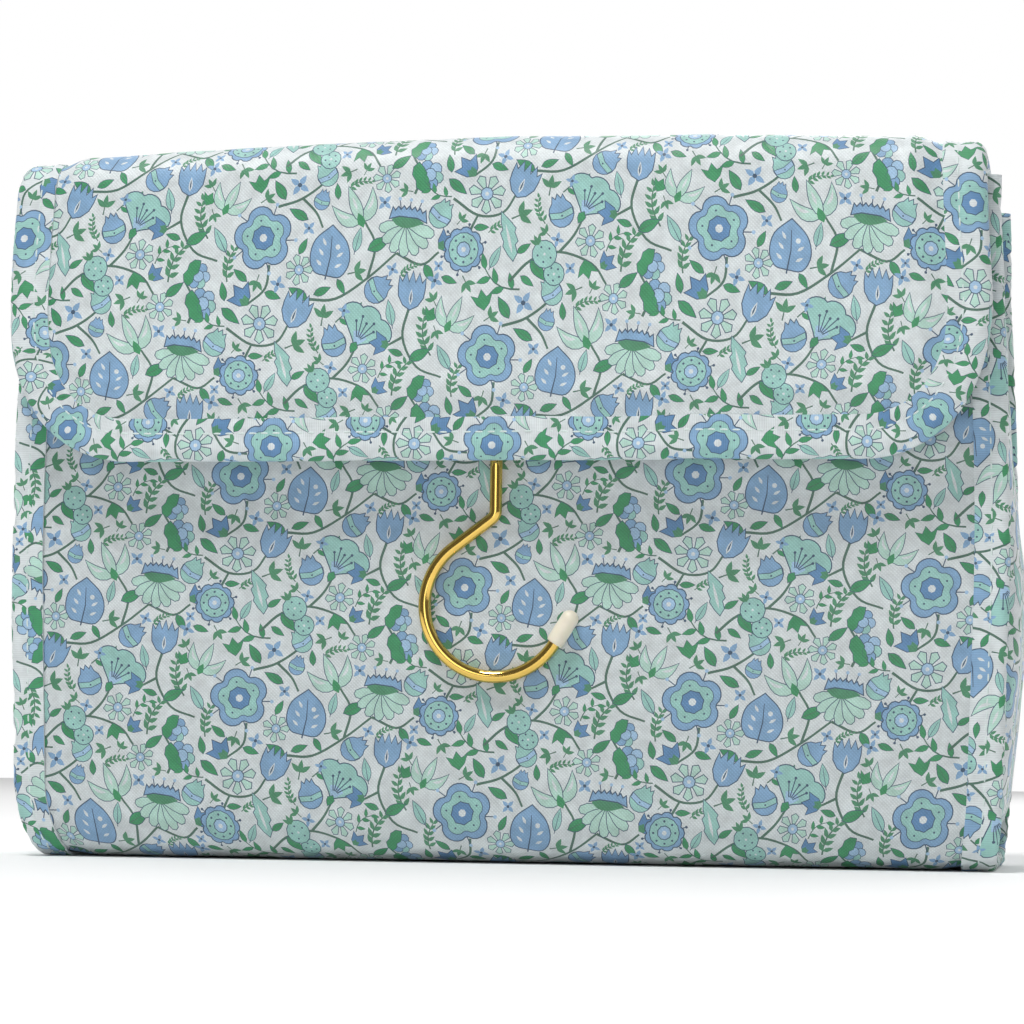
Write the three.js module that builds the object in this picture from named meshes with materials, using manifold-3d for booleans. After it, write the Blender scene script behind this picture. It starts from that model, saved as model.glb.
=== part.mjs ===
// A hanging toiletry bag: a printed shell with a zip sunk in its top, a top panel and flap that fold
// over the zip and down the front, and a wire hook in a strap behind the flap.
// Millimetres. +X is the right side seen from the front, -Y is the front and +Z is up. The origin is on
// the surface that the bag stands on, under the middle of its depth and of its width.

import Module from "manifold-3d";
import * as THREE from "three";
import { mergeVertices } from "three/addons/utils/BufferGeometryUtils.js";

const wasm = await Module();
wasm.setup();

// Driving dimensions: the whole bag.
const WIDTH = 280; // over the side bindings
const DEPTH = 84; // from the flap's face to the back of the side bindings
const HEIGHT = 198;
const SHELL_RADIUS = 12; // where the front and back roll under the base
const FIN = 9.7; // width of the sewn fin along each side, under its binding
const HOOK_SPACE = 6; // room for the hook between the flap and the front panel
const SIDE_ROOM = 3.3; // between the fin's root and what lies inside the gussets
const BASE_ROOM = 2; // between the rolled corners and the foam or board

// Driving dimensions: the cloth layers.
const TAPE = 0.8;
const FABRIC = 1;
const FOAM = 2.2;
const LINING = 0.6;
const GAP = 0.3;
const SLIP = 0.1; // a smaller gap, between pieces that nearly meet

// Driving dimensions: the flap.
const FLAP_LEFT = -139;
const FLAP_RIGHT = 136;
const FLAP_DROP = 86; // from the top of the bag to the flap's lower edge
const FLAP_RADIUS = 33;
const FLAP_TAPE = 12; // width of the binding's face
const MAGNET_RADIUS = 7;
const MAGNET_THICKNESS = 1.6;
const MAGNET_X = 80;
const MAGNET_HEIGHT = 142;

// Driving dimensions: the hook.
const WIRE = 1.75; // radius
const BOWL_RADIUS = 20; // of the wire's centre line, as for the eye and the bend
const EYE_RADIUS = 6;
const BEND_RADIUS = 3;
const BOWL_HEIGHT = 72; // of the bowl's centre above the base
const EYE_HEIGHT = 124;
const NECK_SLOPE = Math.asin(0.6); // of the straight neck between the shank and the bowl
const BOWL_END = THREE.MathUtils.degToRad(328); // where the bowl's arc stops and the tip begins
const TIP_RADIUS = 2.5;
const TIP_LENGTH = 10.5;
const TIP_GRIP = 6; // length of wire inside the tip
const STRAP_WIDTH = 7;
const STRAP_TOP = 150;

// Driving dimensions: the zip, which lies along X in the sunken top.
const ZIP_HEIGHT = 172.5; // upper face of the zip strips
const ZIP_MOUTH = 4.4; // half the space between the strips
const TAPE_HALF = 16; // half the width over both tapes
const TEETH_SPLIT = 0.8; // half the space between the rows, for the slider's web
const TEETH_WIDTH = 2.4;
const TEETH_HEIGHT = 1.8;
const TEETH_HALF = 112; // half the length of the rows
const SLIDER_X = 104; // of the closed slider
const SLIDER_LENGTH = 10;
const SLIDER_PLATE = 1.6;
const SLIDER_HALF = 4.5; // half the width of its plates
const EAR_INNER = 2; // from the slider's middle to each ear
const EAR_OUTER = 3.2;
const EAR_HALF = 1.6; // half the length of an ear
const PIN_RADIUS = 0.6;
const PIN_LENGTH = 5;
const PIN_RISE = 1.7; // of the pin's axis over the upper plate
const PIN_COVER = 1.2; // height of the ears over the pin's axis
const PULLER_LENGTH = 14;
const PULLER_HALF = 3.5; // half the width of the grip
const PULLER_THICKNESS = 1.4;
const PULLER_EYE = 1.4; // radius of the eye round the pin
const PULLER_NECK = 7; // from the pin to the neck's end, inside the grip
const PULLER_NECK_HALF = 1.6; // half the neck's width
const PULLER_GRIP = 5; // from the pin to the grip
const STOP_LENGTH = 2;
const TAB_HALF = 11; // half the width of the cloth tab at each end
const TAB_START = 4; // from the teeth to the tab
const BITE = 0.5; // how far joined bodies run into each other

// Driving dimensions: the slip pocket on the back wall.
const POCKET_LOW = 24;
const POCKET_HIGH = 112;
const POCKET_HEM = 8;
const POCKET_MARGIN = 16; // to each side of it

// Driving dimensions: segments of round shapes.
const CORNER_STEPS = 6;
const FLAP_CORNER_STEPS = 10;
const WIRE_SIDES = 10;

// Derived levels and planes.
const cover = 2 * TAPE + FABRIC + FOAM + LINING + 4 * GAP; // thickness of the flap and the top panel
const flapFace = -DEPTH / 2;
const flapInner = flapFace + cover;
const shellFront = flapInner + HOOK_SPACE;
const shellBack = DEPTH / 2 - TAPE - GAP;
const shellBottom = TAPE + GAP;
const shellMiddle = (shellFront + shellBack) / 2;
const shellHalf = WIDTH / 2 - TAPE - GAP; // half the shell's width
const finRoot = WIDTH / 2 - FIN;
const rim = HEIGHT - cover - GAP - SLIP;
const flapTop = HEIGHT - cover - GAP;
const flapBottom = HEIGHT - FLAP_DROP;
const innerHalf = finRoot - SIDE_ROOM; // half the width of what lies between the gussets
const liningHalf = innerHalf - GAP - SLIP; // half the lining's width
const hookPlane = flapInner + HOOK_SPACE / 2;

// ---- Shapes ----

function polygon(points) {
  return new THREE.Shape(points.map(([a, b]) => new THREE.Vector2(a, b)));
}

// Points down the left of a U, round its two lower corners and up its right. An inset moves them inwards.
function uPath({ left, right, bottom, top, radius, steps }, inset) {
  const points = [[left + inset, top]];
  const corner = radius - inset;
  const centres = [
    [left + radius, Math.PI],
    [right - radius, 1.5 * Math.PI],
  ];
  for (const [centre, start] of centres)
    for (let i = 0; i <= steps; i++) {
      const angle = start + (i / steps) * (Math.PI / 2);
      points.push([centre + corner * Math.cos(angle), bottom + radius + corner * Math.sin(angle)]);
    }
  points.push([right - inset, top]);
  return points;
}

function uFilled(outline, inset) {
  return polygon(uPath(outline, inset));
}

// The band between two insets of one U.
function uBand(outline, outerInset, innerInset) {
  return polygon([...uPath(outline, outerInset), ...uPath(outline, innerInset).reverse()]);
}

// A shape drawn in Y and Z, run along X.
function alongX(shape, start, end) {
  const geometry = new THREE.ExtrudeGeometry(shape, { depth: end - start, bevelEnabled: false });
  geometry.applyMatrix4(new THREE.Matrix4().set(0, 0, 1, start, 1, 0, 0, 0, 0, 1, 0, 0, 0, 0, 0, 1));
  return geometry;
}

// A shape drawn in X and Z, run along Y.
function alongY(shape, start, end) {
  const options = { depth: end - start, bevelEnabled: false, curveSegments: 12 };
  const geometry = new THREE.ExtrudeGeometry(shape, options);
  geometry.rotateX(Math.PI / 2);
  geometry.translate(0, end, 0);
  return geometry;
}

function block(x, y, z) {
  const geometry = new THREE.BoxGeometry(x[1] - x[0], y[1] - y[0], z[1] - z[0]);
  geometry.translate((x[0] + x[1]) / 2, (y[0] + y[1]) / 2, (z[0] + z[1]) / 2);
  return geometry;
}

// ---- Joins and cuts ----

function toSolid(geometry) {
  const bare = geometry.clone();
  bare.deleteAttribute("normal");
  bare.deleteAttribute("uv");
  const merged = mergeVertices(bare, 1e-4);
  return new wasm.Manifold(
    new wasm.Mesh({
      numProp: 3,
      vertProperties: new Float32Array(merged.attributes.position.array),
      triVerts: new Uint32Array(merged.index.array),
    }),
  );
}

function toGeometry(solid) {
  const mesh = solid.getMesh();
  const geometry = new THREE.BufferGeometry();
  geometry.setAttribute("position", new THREE.BufferAttribute(mesh.vertProperties, 3));
  geometry.setIndex(new THREE.BufferAttribute(mesh.triVerts, 1));
  geometry.computeVertexNormals();
  return geometry;
}

function cut(geometry, ...tools) {
  return toGeometry(tools.reduce((solid, tool) => solid.subtract(toSolid(tool)), toSolid(geometry)));
}

function join(geometry, ...others) {
  return toGeometry(others.reduce((solid, other) => solid.add(toSolid(other)), toSolid(geometry)));
}

// ---- The group and its materials ----

const bag = new THREE.Group();
bag.name = "hanging_toiletry_bag";

const looks = {
  print: { color: 0xc9dbe0, roughness: 0.6 },
  tape: { color: 0x9fc3cf, roughness: 0.7 },
  foam: { color: 0xe9e9e4, roughness: 0.9 },
  board: { color: 0xd8d8d4, roughness: 0.5 },
  lining: { color: 0x8fb7c4, roughness: 0.6 },
  zipTape: { color: 0xe6e9e8, roughness: 0.8 },
  teeth: { color: 0xf1f2f0, roughness: 0.4 },
  brass: { color: 0xd0a54a, roughness: 0.15, metalness: 1 },
  magnet: { color: 0x8c8f92, roughness: 0.35, metalness: 1 },
  tip: { color: 0xf1ead6, roughness: 0.45 },
};

function add(name, look, geometry) {
  const mesh = new THREE.Mesh(geometry, new THREE.MeshStandardMaterial(looks[look]));
  mesh.name = name;
  bag.add(mesh);
  return mesh;
}

// A piece on the right, and its mirror image on the left.
function addPair(name, look, geometry) {
  add(`right_${name}`, look, geometry);
  add(`left_${name}`, look, geometry.clone()).scale.x = -1;
}

// ---- Shell ----

const shell = {
  left: shellFront,
  right: shellBack,
  bottom: shellBottom,
  top: rim,
  radius: SHELL_RADIUS,
  steps: CORNER_STEPS,
};

// One wall of the shell with its rolled lower corner, drawn in Y and Z. side is 0 in front, 1 behind.
function wallProfile(side) {
  const count = CORNER_STEPS + 2;
  const half = (inset) => {
    const points = uPath(shell, inset);
    return side === 0 ? points.slice(0, count) : points.slice(-count);
  };
  return polygon([...half(0), ...half(FABRIC).reverse()]);
}

// The base stands down between the fins, level with the bindings, so the bag rests on it.
function baseProfile() {
  const drop = finRoot - 2 * GAP;
  const top = shellBottom + FABRIC;
  return polygon([
    [-shellHalf, top],
    [-shellHalf, shellBottom],
    [-drop, shellBottom],
    [-drop, 0],
    [drop, 0],
    [drop, shellBottom],
    [shellHalf, shellBottom],
    [shellHalf, top],
  ]);
}

function addShell() {
  add("front_panel", "print", alongX(wallProfile(0), -shellHalf, shellHalf));
  add("back_panel", "print", alongX(wallProfile(1), -shellHalf, shellHalf));
  const start = shellFront + SHELL_RADIUS + GAP;
  const end = shellBack - SHELL_RADIUS - GAP;
  add("base_panel", "print", alongY(baseProfile(), start, end));
}

// ---- Gussets and side bindings ----

const flangeInset = FABRIC + GAP; // the gusset's flange lies inside the shell

// A closed loop in the plane x, inside the gusset's outline by the inset. Its lower corners are round
// and its upper ones nearly square.
function gussetLoop(inset, x) {
  const outer = flangeInset + inset;
  const round = Math.max(SHELL_RADIUS - outer, 2);
  const square = Math.max(2 - inset, 0.5);
  const front = shellFront + outer;
  const back = shellBack - outer;
  const bottom = shellBottom + outer;
  const top = rim - GAP - inset;
  const corners = [
    [back - square, top - square, square],
    [front + square, top - square, square],
    [front + round, bottom + round, round],
    [back - round, bottom + round, round],
  ];
  const loop = [];
  corners.forEach(([y, z, radius], quarter) => {
    for (let i = 0; i <= CORNER_STEPS; i++) {
      const angle = (quarter + i / CORNER_STEPS) * (Math.PI / 2);
      loop.push([x, y + radius * Math.cos(angle), z + radius * Math.sin(angle)]);
    }
  });
  return loop;
}

// A closed skin through loops of equal length, with a flat fan over the first and the last.
function skin(loops) {
  const size = loops[0].length;
  const centre = (loop) => loop.reduce((sum, p) => sum.map((v, i) => v + p[i] / size), [0, 0, 0]);
  const points = [...loops.flat(), centre(loops[0]), centre(loops.at(-1))];
  const first = points.length - 2;
  const last = points.length - 1;
  const index = [];
  for (let i = 0; i < size; i++) {
    const j = (i + 1) % size;
    index.push(first, i, j);
    index.push(last, last - 1 - size + j, last - 1 - size + i);
    for (let k = 0; k < loops.length - 1; k++) {
      const a = k * size;
      const b = a + size;
      index.push(a + i, b + i, b + j, a + i, b + j, a + j);
    }
  }
  const geometry = new THREE.BufferGeometry();
  geometry.setAttribute("position", new THREE.Float32BufferAttribute(points.flat(), 3));
  geometry.setIndex(index);
  geometry.computeVertexNormals();
  return geometry;
}

// The wall swells outwards from the fin, and a flange turns out into the fin all round it.
function gussetGeometry() {
  const edge = shellHalf - SLIP;
  const root = finRoot - GAP;
  // How far in from the flange's edge, and how far out from the fin's root.
  const bulge = [
    [3, 0],
    [9, 3.8],
    [19, 7.4],
    [31, edge - finRoot],
  ];
  const outside = bulge.map(([inset, out]) => gussetLoop(inset, root + out)).reverse();
  const inside = bulge.map(([inset, out]) => gussetLoop(inset, root - FABRIC + out));
  return skin([
    ...outside,
    gussetLoop(FABRIC, root),
    gussetLoop(FABRIC, edge),
    gussetLoop(0, edge),
    gussetLoop(0, root - FABRIC),
    ...inside,
  ]);
}

// A folded tape round the fin: an outer leg on the shell, an inner leg on the flange and an edge.
// The inner leg stops below the flange along the gusset's top.
function sideBindingGeometry() {
  const outer = -(TAPE + GAP);
  const inner = flangeInset + FABRIC + GAP + TAPE;
  const body = alongX(uBand(shell, outer, inner), finRoot, WIDTH / 2);
  const x = [finRoot - 1, WIDTH / 2 - TAPE];
  const tall = { ...shell, top: rim + 1 };
  const room = alongX(uBand(tall, -GAP, inner - TAPE), ...x);
  const y = [shellFront - GAP, shellBack + GAP];
  return cut(body, room, block(x, y, [rim - FABRIC - 3 * GAP, rim + 1]));
}

function addSides() {
  addPair("gusset", "print", gussetGeometry());
  addPair("side_binding", "tape", sideBindingGeometry());
}

// ---- Inside the shell ----

const foamInset = FABRIC + GAP;
const liningInset = foamInset + FOAM + GAP;

function discAlongY(x, z, radius) {
  const path = new THREE.Path();
  path.absarc(x, z, radius, 0, 2 * Math.PI, true);
  return path;
}

// A foam sheet in X and Z with a hole for each magnet.
function foamSheet(outline) {
  for (const x of [-MAGNET_X, MAGNET_X])
    outline.holes.push(discAlongY(x, MAGNET_HEIGHT, MAGNET_RADIUS + GAP));
  return outline;
}

function rectangle(x, z) {
  return polygon([
    [x[0], z[0]],
    [x[1], z[0]],
    [x[1], z[1]],
    [x[0], z[1]],
  ]);
}

function magnet(x, middle) {
  const geometry = new THREE.CylinderGeometry(MAGNET_RADIUS, MAGNET_RADIUS, MAGNET_THICKNESS, 24);
  geometry.translate(x, middle, MAGNET_HEIGHT);
  return geometry;
}

function addPadding() {
  const x = [-innerHalf, innerHalf];
  const z = [shellBottom + SHELL_RADIUS + BASE_ROOM, rim - BASE_ROOM];
  const front = shellFront + foamInset;
  const back = shellBack - foamInset;
  add("front_foam", "foam", alongY(foamSheet(rectangle(x, z)), front, front + FOAM));
  add("back_foam", "foam", block(x, [back - FOAM, back], z));
  const boardBottom = shellBottom + foamInset;
  const boardInset = SHELL_RADIUS + BASE_ROOM;
  const boardY = [shellFront + boardInset, shellBack - boardInset];
  add("base_board", "board", block(x, boardY, [boardBottom, boardBottom + FOAM]));
  const middle = front + FOAM / 2;
  add("front_magnet_left", "magnet", magnet(-MAGNET_X, middle));
  add("front_magnet_right", "magnet", magnet(MAGNET_X, middle));
}

function addLining() {
  const top = ZIP_HEIGHT - FABRIC - GAP;
  const tray = { ...shell, top };
  const body = alongX(uFilled(tray, liningInset), -liningHalf, liningHalf);
  const room = uFilled({ ...shell, top: top + 1 }, liningInset + LINING);
  add("lining", "lining", cut(body, alongX(room, LINING - liningHalf, liningHalf - LINING)));
}

// A flat slip pocket on the back wall of the lining.
function addPocket() {
  const back = shellBack - liningInset - LINING - GAP;
  const x = [POCKET_MARGIN - innerHalf, innerHalf - POCKET_MARGIN];
  const y = [back - LINING, back];
  add("inner_pocket", "lining", block(x, y, [POCKET_LOW, POCKET_HIGH - GAP]));
  const hemY = [y[0] - GAP - SLIP, y[1]];
  add("pocket_hem", "tape", block(x, hemY, [POCKET_HIGH, POCKET_HIGH + POCKET_HEM]));
}

// ---- Zip ----

const stripBottom = ZIP_HEIGHT - FABRIC;
const zipTapeTop = stripBottom - GAP;
const zipTapeBottom = zipTapeTop - LINING;
const teethBottom = stripBottom;
const teethTop = teethBottom + TEETH_HEIGHT;
const sliderTop = teethTop + GAP + SLIDER_PLATE;
const pinHeight = sliderTop + PIN_RISE;

// One half of the sunken top: a strip from the zip to the wall, turned up the wall to the rim.
// side is -1 in front and 1 behind.
function zipStripProfile(side) {
  const wall = side < 0 ? shellFront + liningInset : shellBack - liningInset;
  const edge = shellMiddle + side * ZIP_MOUTH;
  return polygon([
    [edge, stripBottom],
    [wall, stripBottom],
    [wall, rim - GAP],
    [wall - side * FABRIC, rim - GAP],
    [wall - side * FABRIC, ZIP_HEIGHT],
    [edge, ZIP_HEIGHT],
  ]);
}

function addZipHalf(name, side) {
  const span = (near, far) => [near, far].map((v) => shellMiddle + side * v).sort((a, b) => a - b);
  const tape = span(TEETH_SPLIT, TAPE_HALF);
  const teeth = span(TEETH_SPLIT, TEETH_SPLIT + TEETH_WIDTH);
  const x = [2 - liningHalf, liningHalf - 2];
  add(`${name}_zip_strip`, "print", alongX(zipStripProfile(side), -liningHalf, liningHalf));
  add(`${name}_zip_tape`, "zipTape", block(x, tape, [zipTapeBottom, zipTapeTop]));
  add(`${name}_zip_teeth`, "teeth", block([-TEETH_HALF, TEETH_HALF], teeth, [teethBottom, teethTop]));
}

function addZipEnd(name, side) {
  const x = (near, far) => [near, far].map((v) => side * v).sort((a, b) => a - b);
  const reach = TEETH_SPLIT + TEETH_WIDTH;
  const stopY = [shellMiddle - reach, shellMiddle + reach];
  const stopX = x(TEETH_HALF + GAP, TEETH_HALF + GAP + STOP_LENGTH);
  add(`zip_stop_${name}`, "brass", block(stopX, stopY, [teethBottom, teethTop]));
  const tabY = [shellMiddle - TAB_HALF, shellMiddle + TAB_HALF];
  const tabX = x(TEETH_HALF + TAB_START, innerHalf - 1);
  add(`zip_tab_${name}`, "tape", block(tabX, tabY, [ZIP_HEIGHT + GAP, ZIP_HEIGHT + GAP + TAPE]));
}

// The slider: a plate above the teeth and one below the tapes, joined by a web between the rows, and
// two ears on top with the puller's pin across them.
function sliderGeometry() {
  const x = [SLIDER_X - SLIDER_LENGTH / 2, SLIDER_X + SLIDER_LENGTH / 2];
  const y = (half) => [shellMiddle - half, shellMiddle + half];
  const bottom = zipTapeBottom - GAP - SLIDER_PLATE;
  const upper = block(x, y(SLIDER_HALF), [teethTop + GAP, sliderTop]);
  const lower = block(x, y(SLIDER_HALF), [bottom, bottom + SLIDER_PLATE]);
  const web = block(x, y(TEETH_SPLIT - GAP), [bottom + BITE, sliderTop - BITE]);
  const ear = (side) => {
    const span = [EAR_INNER, EAR_OUTER].map((v) => shellMiddle + side * v).sort((a, b) => a - b);
    return block([SLIDER_X - EAR_HALF, SLIDER_X + EAR_HALF], span, [sliderTop - BITE, pinHeight + PIN_COVER]);
  };
  const pin = new THREE.CylinderGeometry(PIN_RADIUS, PIN_RADIUS, PIN_LENGTH, 12);
  pin.translate(SLIDER_X, shellMiddle, pinHeight);
  return join(upper, lower, web, ear(-1), ear(1), pin);
}

// The puller lies towards the open end: a narrow eye round the pin, and a wider grip.
function pullerGeometry() {
  const eye = new THREE.Shape();
  const z = [pinHeight - PULLER_THICKNESS / 2, pinHeight + PULLER_THICKNESS / 2];
  eye.absarc(SLIDER_X, pinHeight, PULLER_EYE, -Math.PI / 2, Math.PI / 2, false);
  eye.lineTo(SLIDER_X - PULLER_NECK, z[1]);
  eye.lineTo(SLIDER_X - PULLER_NECK, z[0]);
  eye.closePath();
  const hole = new THREE.Path();
  hole.absarc(SLIDER_X, pinHeight, PIN_RADIUS + GAP, 0, 2 * Math.PI, true);
  eye.holes.push(hole);
  const neck = alongY(eye, shellMiddle - PULLER_NECK_HALF, shellMiddle + PULLER_NECK_HALF);
  const gripX = [SLIDER_X - PULLER_LENGTH, SLIDER_X - PULLER_GRIP];
  return join(neck, block(gripX, [shellMiddle - PULLER_HALF, shellMiddle + PULLER_HALF], z));
}

function addZip() {
  addZipHalf("front", -1);
  addZipHalf("back", 1);
  addZipEnd("left", -1);
  addZipEnd("right", 1);
  add("zip_slider", "brass", sliderGeometry());
  add("zip_puller", "brass", pullerGeometry());
}

// ---- Top panel ----

// Heights of the layers of the top panel, from the outside in. The flap has the same layers in depth.
const layers = {
  panel: TAPE + GAP,
  foam: TAPE + GAP + FABRIC + GAP,
  lining: TAPE + GAP + FABRIC + GAP + FOAM + GAP,
};

// A folded tape in X and Z, open towards the middle. side is -1 on the left and 1 on the right.
function topBindingProfile(side) {
  const edge = side < 0 ? FLAP_LEFT : FLAP_RIGHT;
  const inner = edge - side * FLAP_TAPE;
  const wall = edge - side * TAPE;
  const low = HEIGHT - cover;
  return polygon([
    [inner, HEIGHT],
    [edge, HEIGHT],
    [edge, low],
    [inner, low],
    [inner, low + TAPE],
    [wall, low + TAPE],
    [wall, HEIGHT - TAPE],
    [inner, HEIGHT - TAPE],
  ]);
}

function addTop() {
  const y = [flapFace + GAP, DEPTH / 2 - GAP];
  const layer = (inset, depth, thickness) => {
    const x = [FLAP_LEFT + inset, FLAP_RIGHT - inset];
    return block(x, y, [HEIGHT - depth - thickness, HEIGHT - depth]);
  };
  add("top_panel", "print", layer(TAPE + GAP, layers.panel, FABRIC));
  add("top_foam", "foam", layer(FLAP_TAPE + 1, layers.foam, FOAM));
  add("top_lining", "lining", layer(TAPE + GAP, layers.lining, LINING));
  add("top_binding_left", "tape", alongY(topBindingProfile(-1), ...y));
  add("top_binding_right", "tape", alongY(topBindingProfile(1), ...y));
}

// ---- Flap ----

const flap = {
  left: FLAP_LEFT,
  right: FLAP_RIGHT,
  bottom: flapBottom,
  top: flapTop,
  radius: FLAP_RADIUS,
  steps: FLAP_CORNER_STEPS,
};

function addFlap() {
  const at = (depth) => flapFace + depth;
  const sheet = (inset, depth, thickness) =>
    alongY(uFilled(flap, inset), at(depth), at(depth + thickness));
  add("flap_panel", "print", sheet(TAPE + GAP, layers.panel, FABRIC));
  const foam = foamSheet(uFilled(flap, FLAP_TAPE + 1));
  add("flap_foam", "foam", alongY(foam, at(layers.foam), at(layers.foam + FOAM)));
  add("flap_lining", "lining", sheet(TAPE + GAP, layers.lining, LINING));
  const body = alongY(uBand(flap, 0, FLAP_TAPE), flapFace, flapInner);
  const tall = { ...flap, top: flapTop + 1 };
  const room = alongY(uBand(tall, TAPE, FLAP_TAPE + 1), flapFace + TAPE, flapInner - TAPE);
  add("flap_binding", "tape", cut(body, room));
  const middle = at(layers.foam + FOAM / 2);
  add("flap_magnet_left", "magnet", magnet(-MAGNET_X, middle));
  add("flap_magnet_right", "magnet", magnet(MAGNET_X, middle));
}

// ---- Hook ----

// An arc of wire in the plane of the hook, anticlockwise seen from the front where end is over start.
class WireArc extends THREE.Curve {
  constructor(x, z, radius, start, end) {
    super();
    Object.assign(this, { x, z, radius, start, end });
  }

  getPoint(t) {
    const angle = this.start + t * (this.end - this.start);
    const x = this.x + this.radius * Math.cos(angle);
    return new THREE.Vector3(x, hookPlane, this.z + this.radius * Math.sin(angle));
  }
}

function wireLine(from, to) {
  return new THREE.LineCurve3(from, to);
}

// The end of the bowl's arc and the direction of the wire there.
function bowlEnd() {
  const x = BOWL_RADIUS * Math.cos(BOWL_END);
  const z = BOWL_HEIGHT + BOWL_RADIUS * Math.sin(BOWL_END);
  const direction = new THREE.Vector3(-Math.sin(BOWL_END), 0, Math.cos(BOWL_END));
  return { point: new THREE.Vector3(x, hookPlane, z), direction };
}

// The wire from the eye down the shank, over a tight bend, along the neck and round the bowl.
function hookPath() {
  const arcStart = Math.PI / 2 + NECK_SLOPE;
  const neckEnd = new THREE.Vector2(
    BOWL_RADIUS * Math.cos(arcStart),
    BOWL_HEIGHT + BOWL_RADIUS * Math.sin(arcStart),
  );
  const kinkHeight = neckEnd.y - neckEnd.x * Math.tan(NECK_SLOPE);
  const turn = Math.PI / 2 - NECK_SLOPE;
  const bendTop = kinkHeight + BEND_RADIUS * Math.tan(turn / 2);
  const bend = new WireArc(-BEND_RADIUS, bendTop, BEND_RADIUS, 0, -turn);
  const bowl = new WireArc(0, BOWL_HEIGHT, BOWL_RADIUS, arcStart, BOWL_END);
  const { point, direction } = bowlEnd();
  const path = new THREE.CurvePath();
  path.add(wireLine(new THREE.Vector3(0, hookPlane, EYE_HEIGHT - EYE_RADIUS), bend.getPoint(0)));
  path.add(bend);
  path.add(wireLine(bend.getPoint(1), bowl.getPoint(0)));
  path.add(bowl);
  path.add(wireLine(point, point.clone().addScaledVector(direction, TIP_GRIP)));
  return path;
}

function circle(radius, sides) {
  const points = [];
  for (let i = 0; i < sides; i++) {
    const angle = (i / sides) * 2 * Math.PI;
    points.push([radius * Math.cos(angle), radius * Math.sin(angle)]);
  }
  return polygon(points);
}

function wireGeometry() {
  const steps = 70;
  const tube = new THREE.ExtrudeGeometry(circle(WIRE, WIRE_SIDES), { steps, extrudePath: hookPath() });
  const eye = new THREE.TorusGeometry(EYE_RADIUS, WIRE, WIRE_SIDES, 30);
  eye.rotateX(Math.PI / 2);
  eye.translate(0, hookPlane, EYE_HEIGHT);
  return join(tube, eye);
}

// A round-ended sleeve over the end of the wire, turned about its own axis and set along the wire.
function tipGeometry() {
  const bore = WIRE + GAP;
  const depth = TIP_GRIP + GAP;
  const profile = [
    new THREE.Vector2(0, depth),
    new THREE.Vector2(bore, depth),
    new THREE.Vector2(bore, 0),
    new THREE.Vector2(TIP_RADIUS - 0.15, 0),
    new THREE.Vector2(TIP_RADIUS, 0.4),
  ];
  const dome = 6;
  for (let i = 0; i <= dome; i++) {
    const angle = (i / dome) * (Math.PI / 2);
    const height = TIP_LENGTH - TIP_RADIUS + TIP_RADIUS * Math.sin(angle);
    profile.push(new THREE.Vector2(i === dome ? 0 : TIP_RADIUS * Math.cos(angle), height));
  }
  const geometry = new THREE.LatheGeometry(profile, 16);
  const { point, direction } = bowlEnd();
  const turn = new THREE.Quaternion().setFromUnitVectors(new THREE.Vector3(0, 1, 0), direction);
  geometry.applyQuaternion(turn);
  geometry.translate(point.x, point.y, point.z);
  return geometry;
}

// A flat loop of webbing through the eye, drawn in Y and Z.
function strapGeometry() {
  const inner = WIRE + GAP;
  const outer = inner + LINING;
  const edge = STRAP_WIDTH / 2;
  const eyeHole = EYE_RADIUS - WIRE;
  const floor = EYE_HEIGHT + Math.sqrt(eyeHole ** 2 - edge ** 2) - GAP;
  const low = floor + inner;
  const high = STRAP_TOP - outer;
  const loop = (radius, path) => {
    path.absarc(hookPlane, high, radius, 0, Math.PI, false);
    path.absarc(hookPlane, low, radius, Math.PI, 2 * Math.PI, false);
    path.closePath();
    return path;
  };
  const shape = loop(outer, new THREE.Shape());
  shape.holes.push(loop(inner, new THREE.Path()));
  return alongX(shape, -edge, edge);
}

function addHook() {
  add("hook_strap", "tape", strapGeometry());
  add("hook_wire", "brass", wireGeometry());
  add("hook_tip", "tip", tipGeometry());
}

addShell();
addSides();
addPadding();
addLining();
addPocket();
addZip();
addTop();
addFlap();
addHook();

export default bag;
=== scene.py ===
"""Looks of the hanging toiletry bag: its printed cloth, bindings, stitching, zip and hook.

Shapes are worked out in millimetres in the frame's own axes, and become metres when a mesh is made.
The printed pieces are cut from one cloth: the print is drawn once as flat shapes, cut into triangles,
repeated over the piece and laid on the piece's surface, with a plain back to close it.
"""

from math import atan2, cos, hypot, pi, radians, sin

import bpy
import numpy as np
from mathutils import Euler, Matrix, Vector
from mathutils.geometry import delaunay_2d_cdt


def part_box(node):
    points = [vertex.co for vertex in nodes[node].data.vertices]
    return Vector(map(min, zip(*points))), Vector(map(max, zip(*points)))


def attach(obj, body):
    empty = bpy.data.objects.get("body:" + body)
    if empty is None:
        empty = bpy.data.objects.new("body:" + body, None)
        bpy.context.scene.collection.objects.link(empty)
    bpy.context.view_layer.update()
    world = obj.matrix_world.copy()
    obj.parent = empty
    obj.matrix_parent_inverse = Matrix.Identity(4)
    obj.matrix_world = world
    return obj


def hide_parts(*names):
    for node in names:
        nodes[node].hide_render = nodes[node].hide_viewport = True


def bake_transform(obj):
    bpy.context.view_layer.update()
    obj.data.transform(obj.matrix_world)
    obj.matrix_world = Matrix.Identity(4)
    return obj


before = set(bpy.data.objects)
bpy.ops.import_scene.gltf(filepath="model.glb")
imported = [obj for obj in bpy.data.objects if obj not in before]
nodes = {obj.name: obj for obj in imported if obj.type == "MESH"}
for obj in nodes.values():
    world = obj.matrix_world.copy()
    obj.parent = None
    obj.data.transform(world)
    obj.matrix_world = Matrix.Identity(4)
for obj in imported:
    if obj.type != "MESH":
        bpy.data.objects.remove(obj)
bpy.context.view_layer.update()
MM = 0.001


# ---- The print ----

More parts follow.
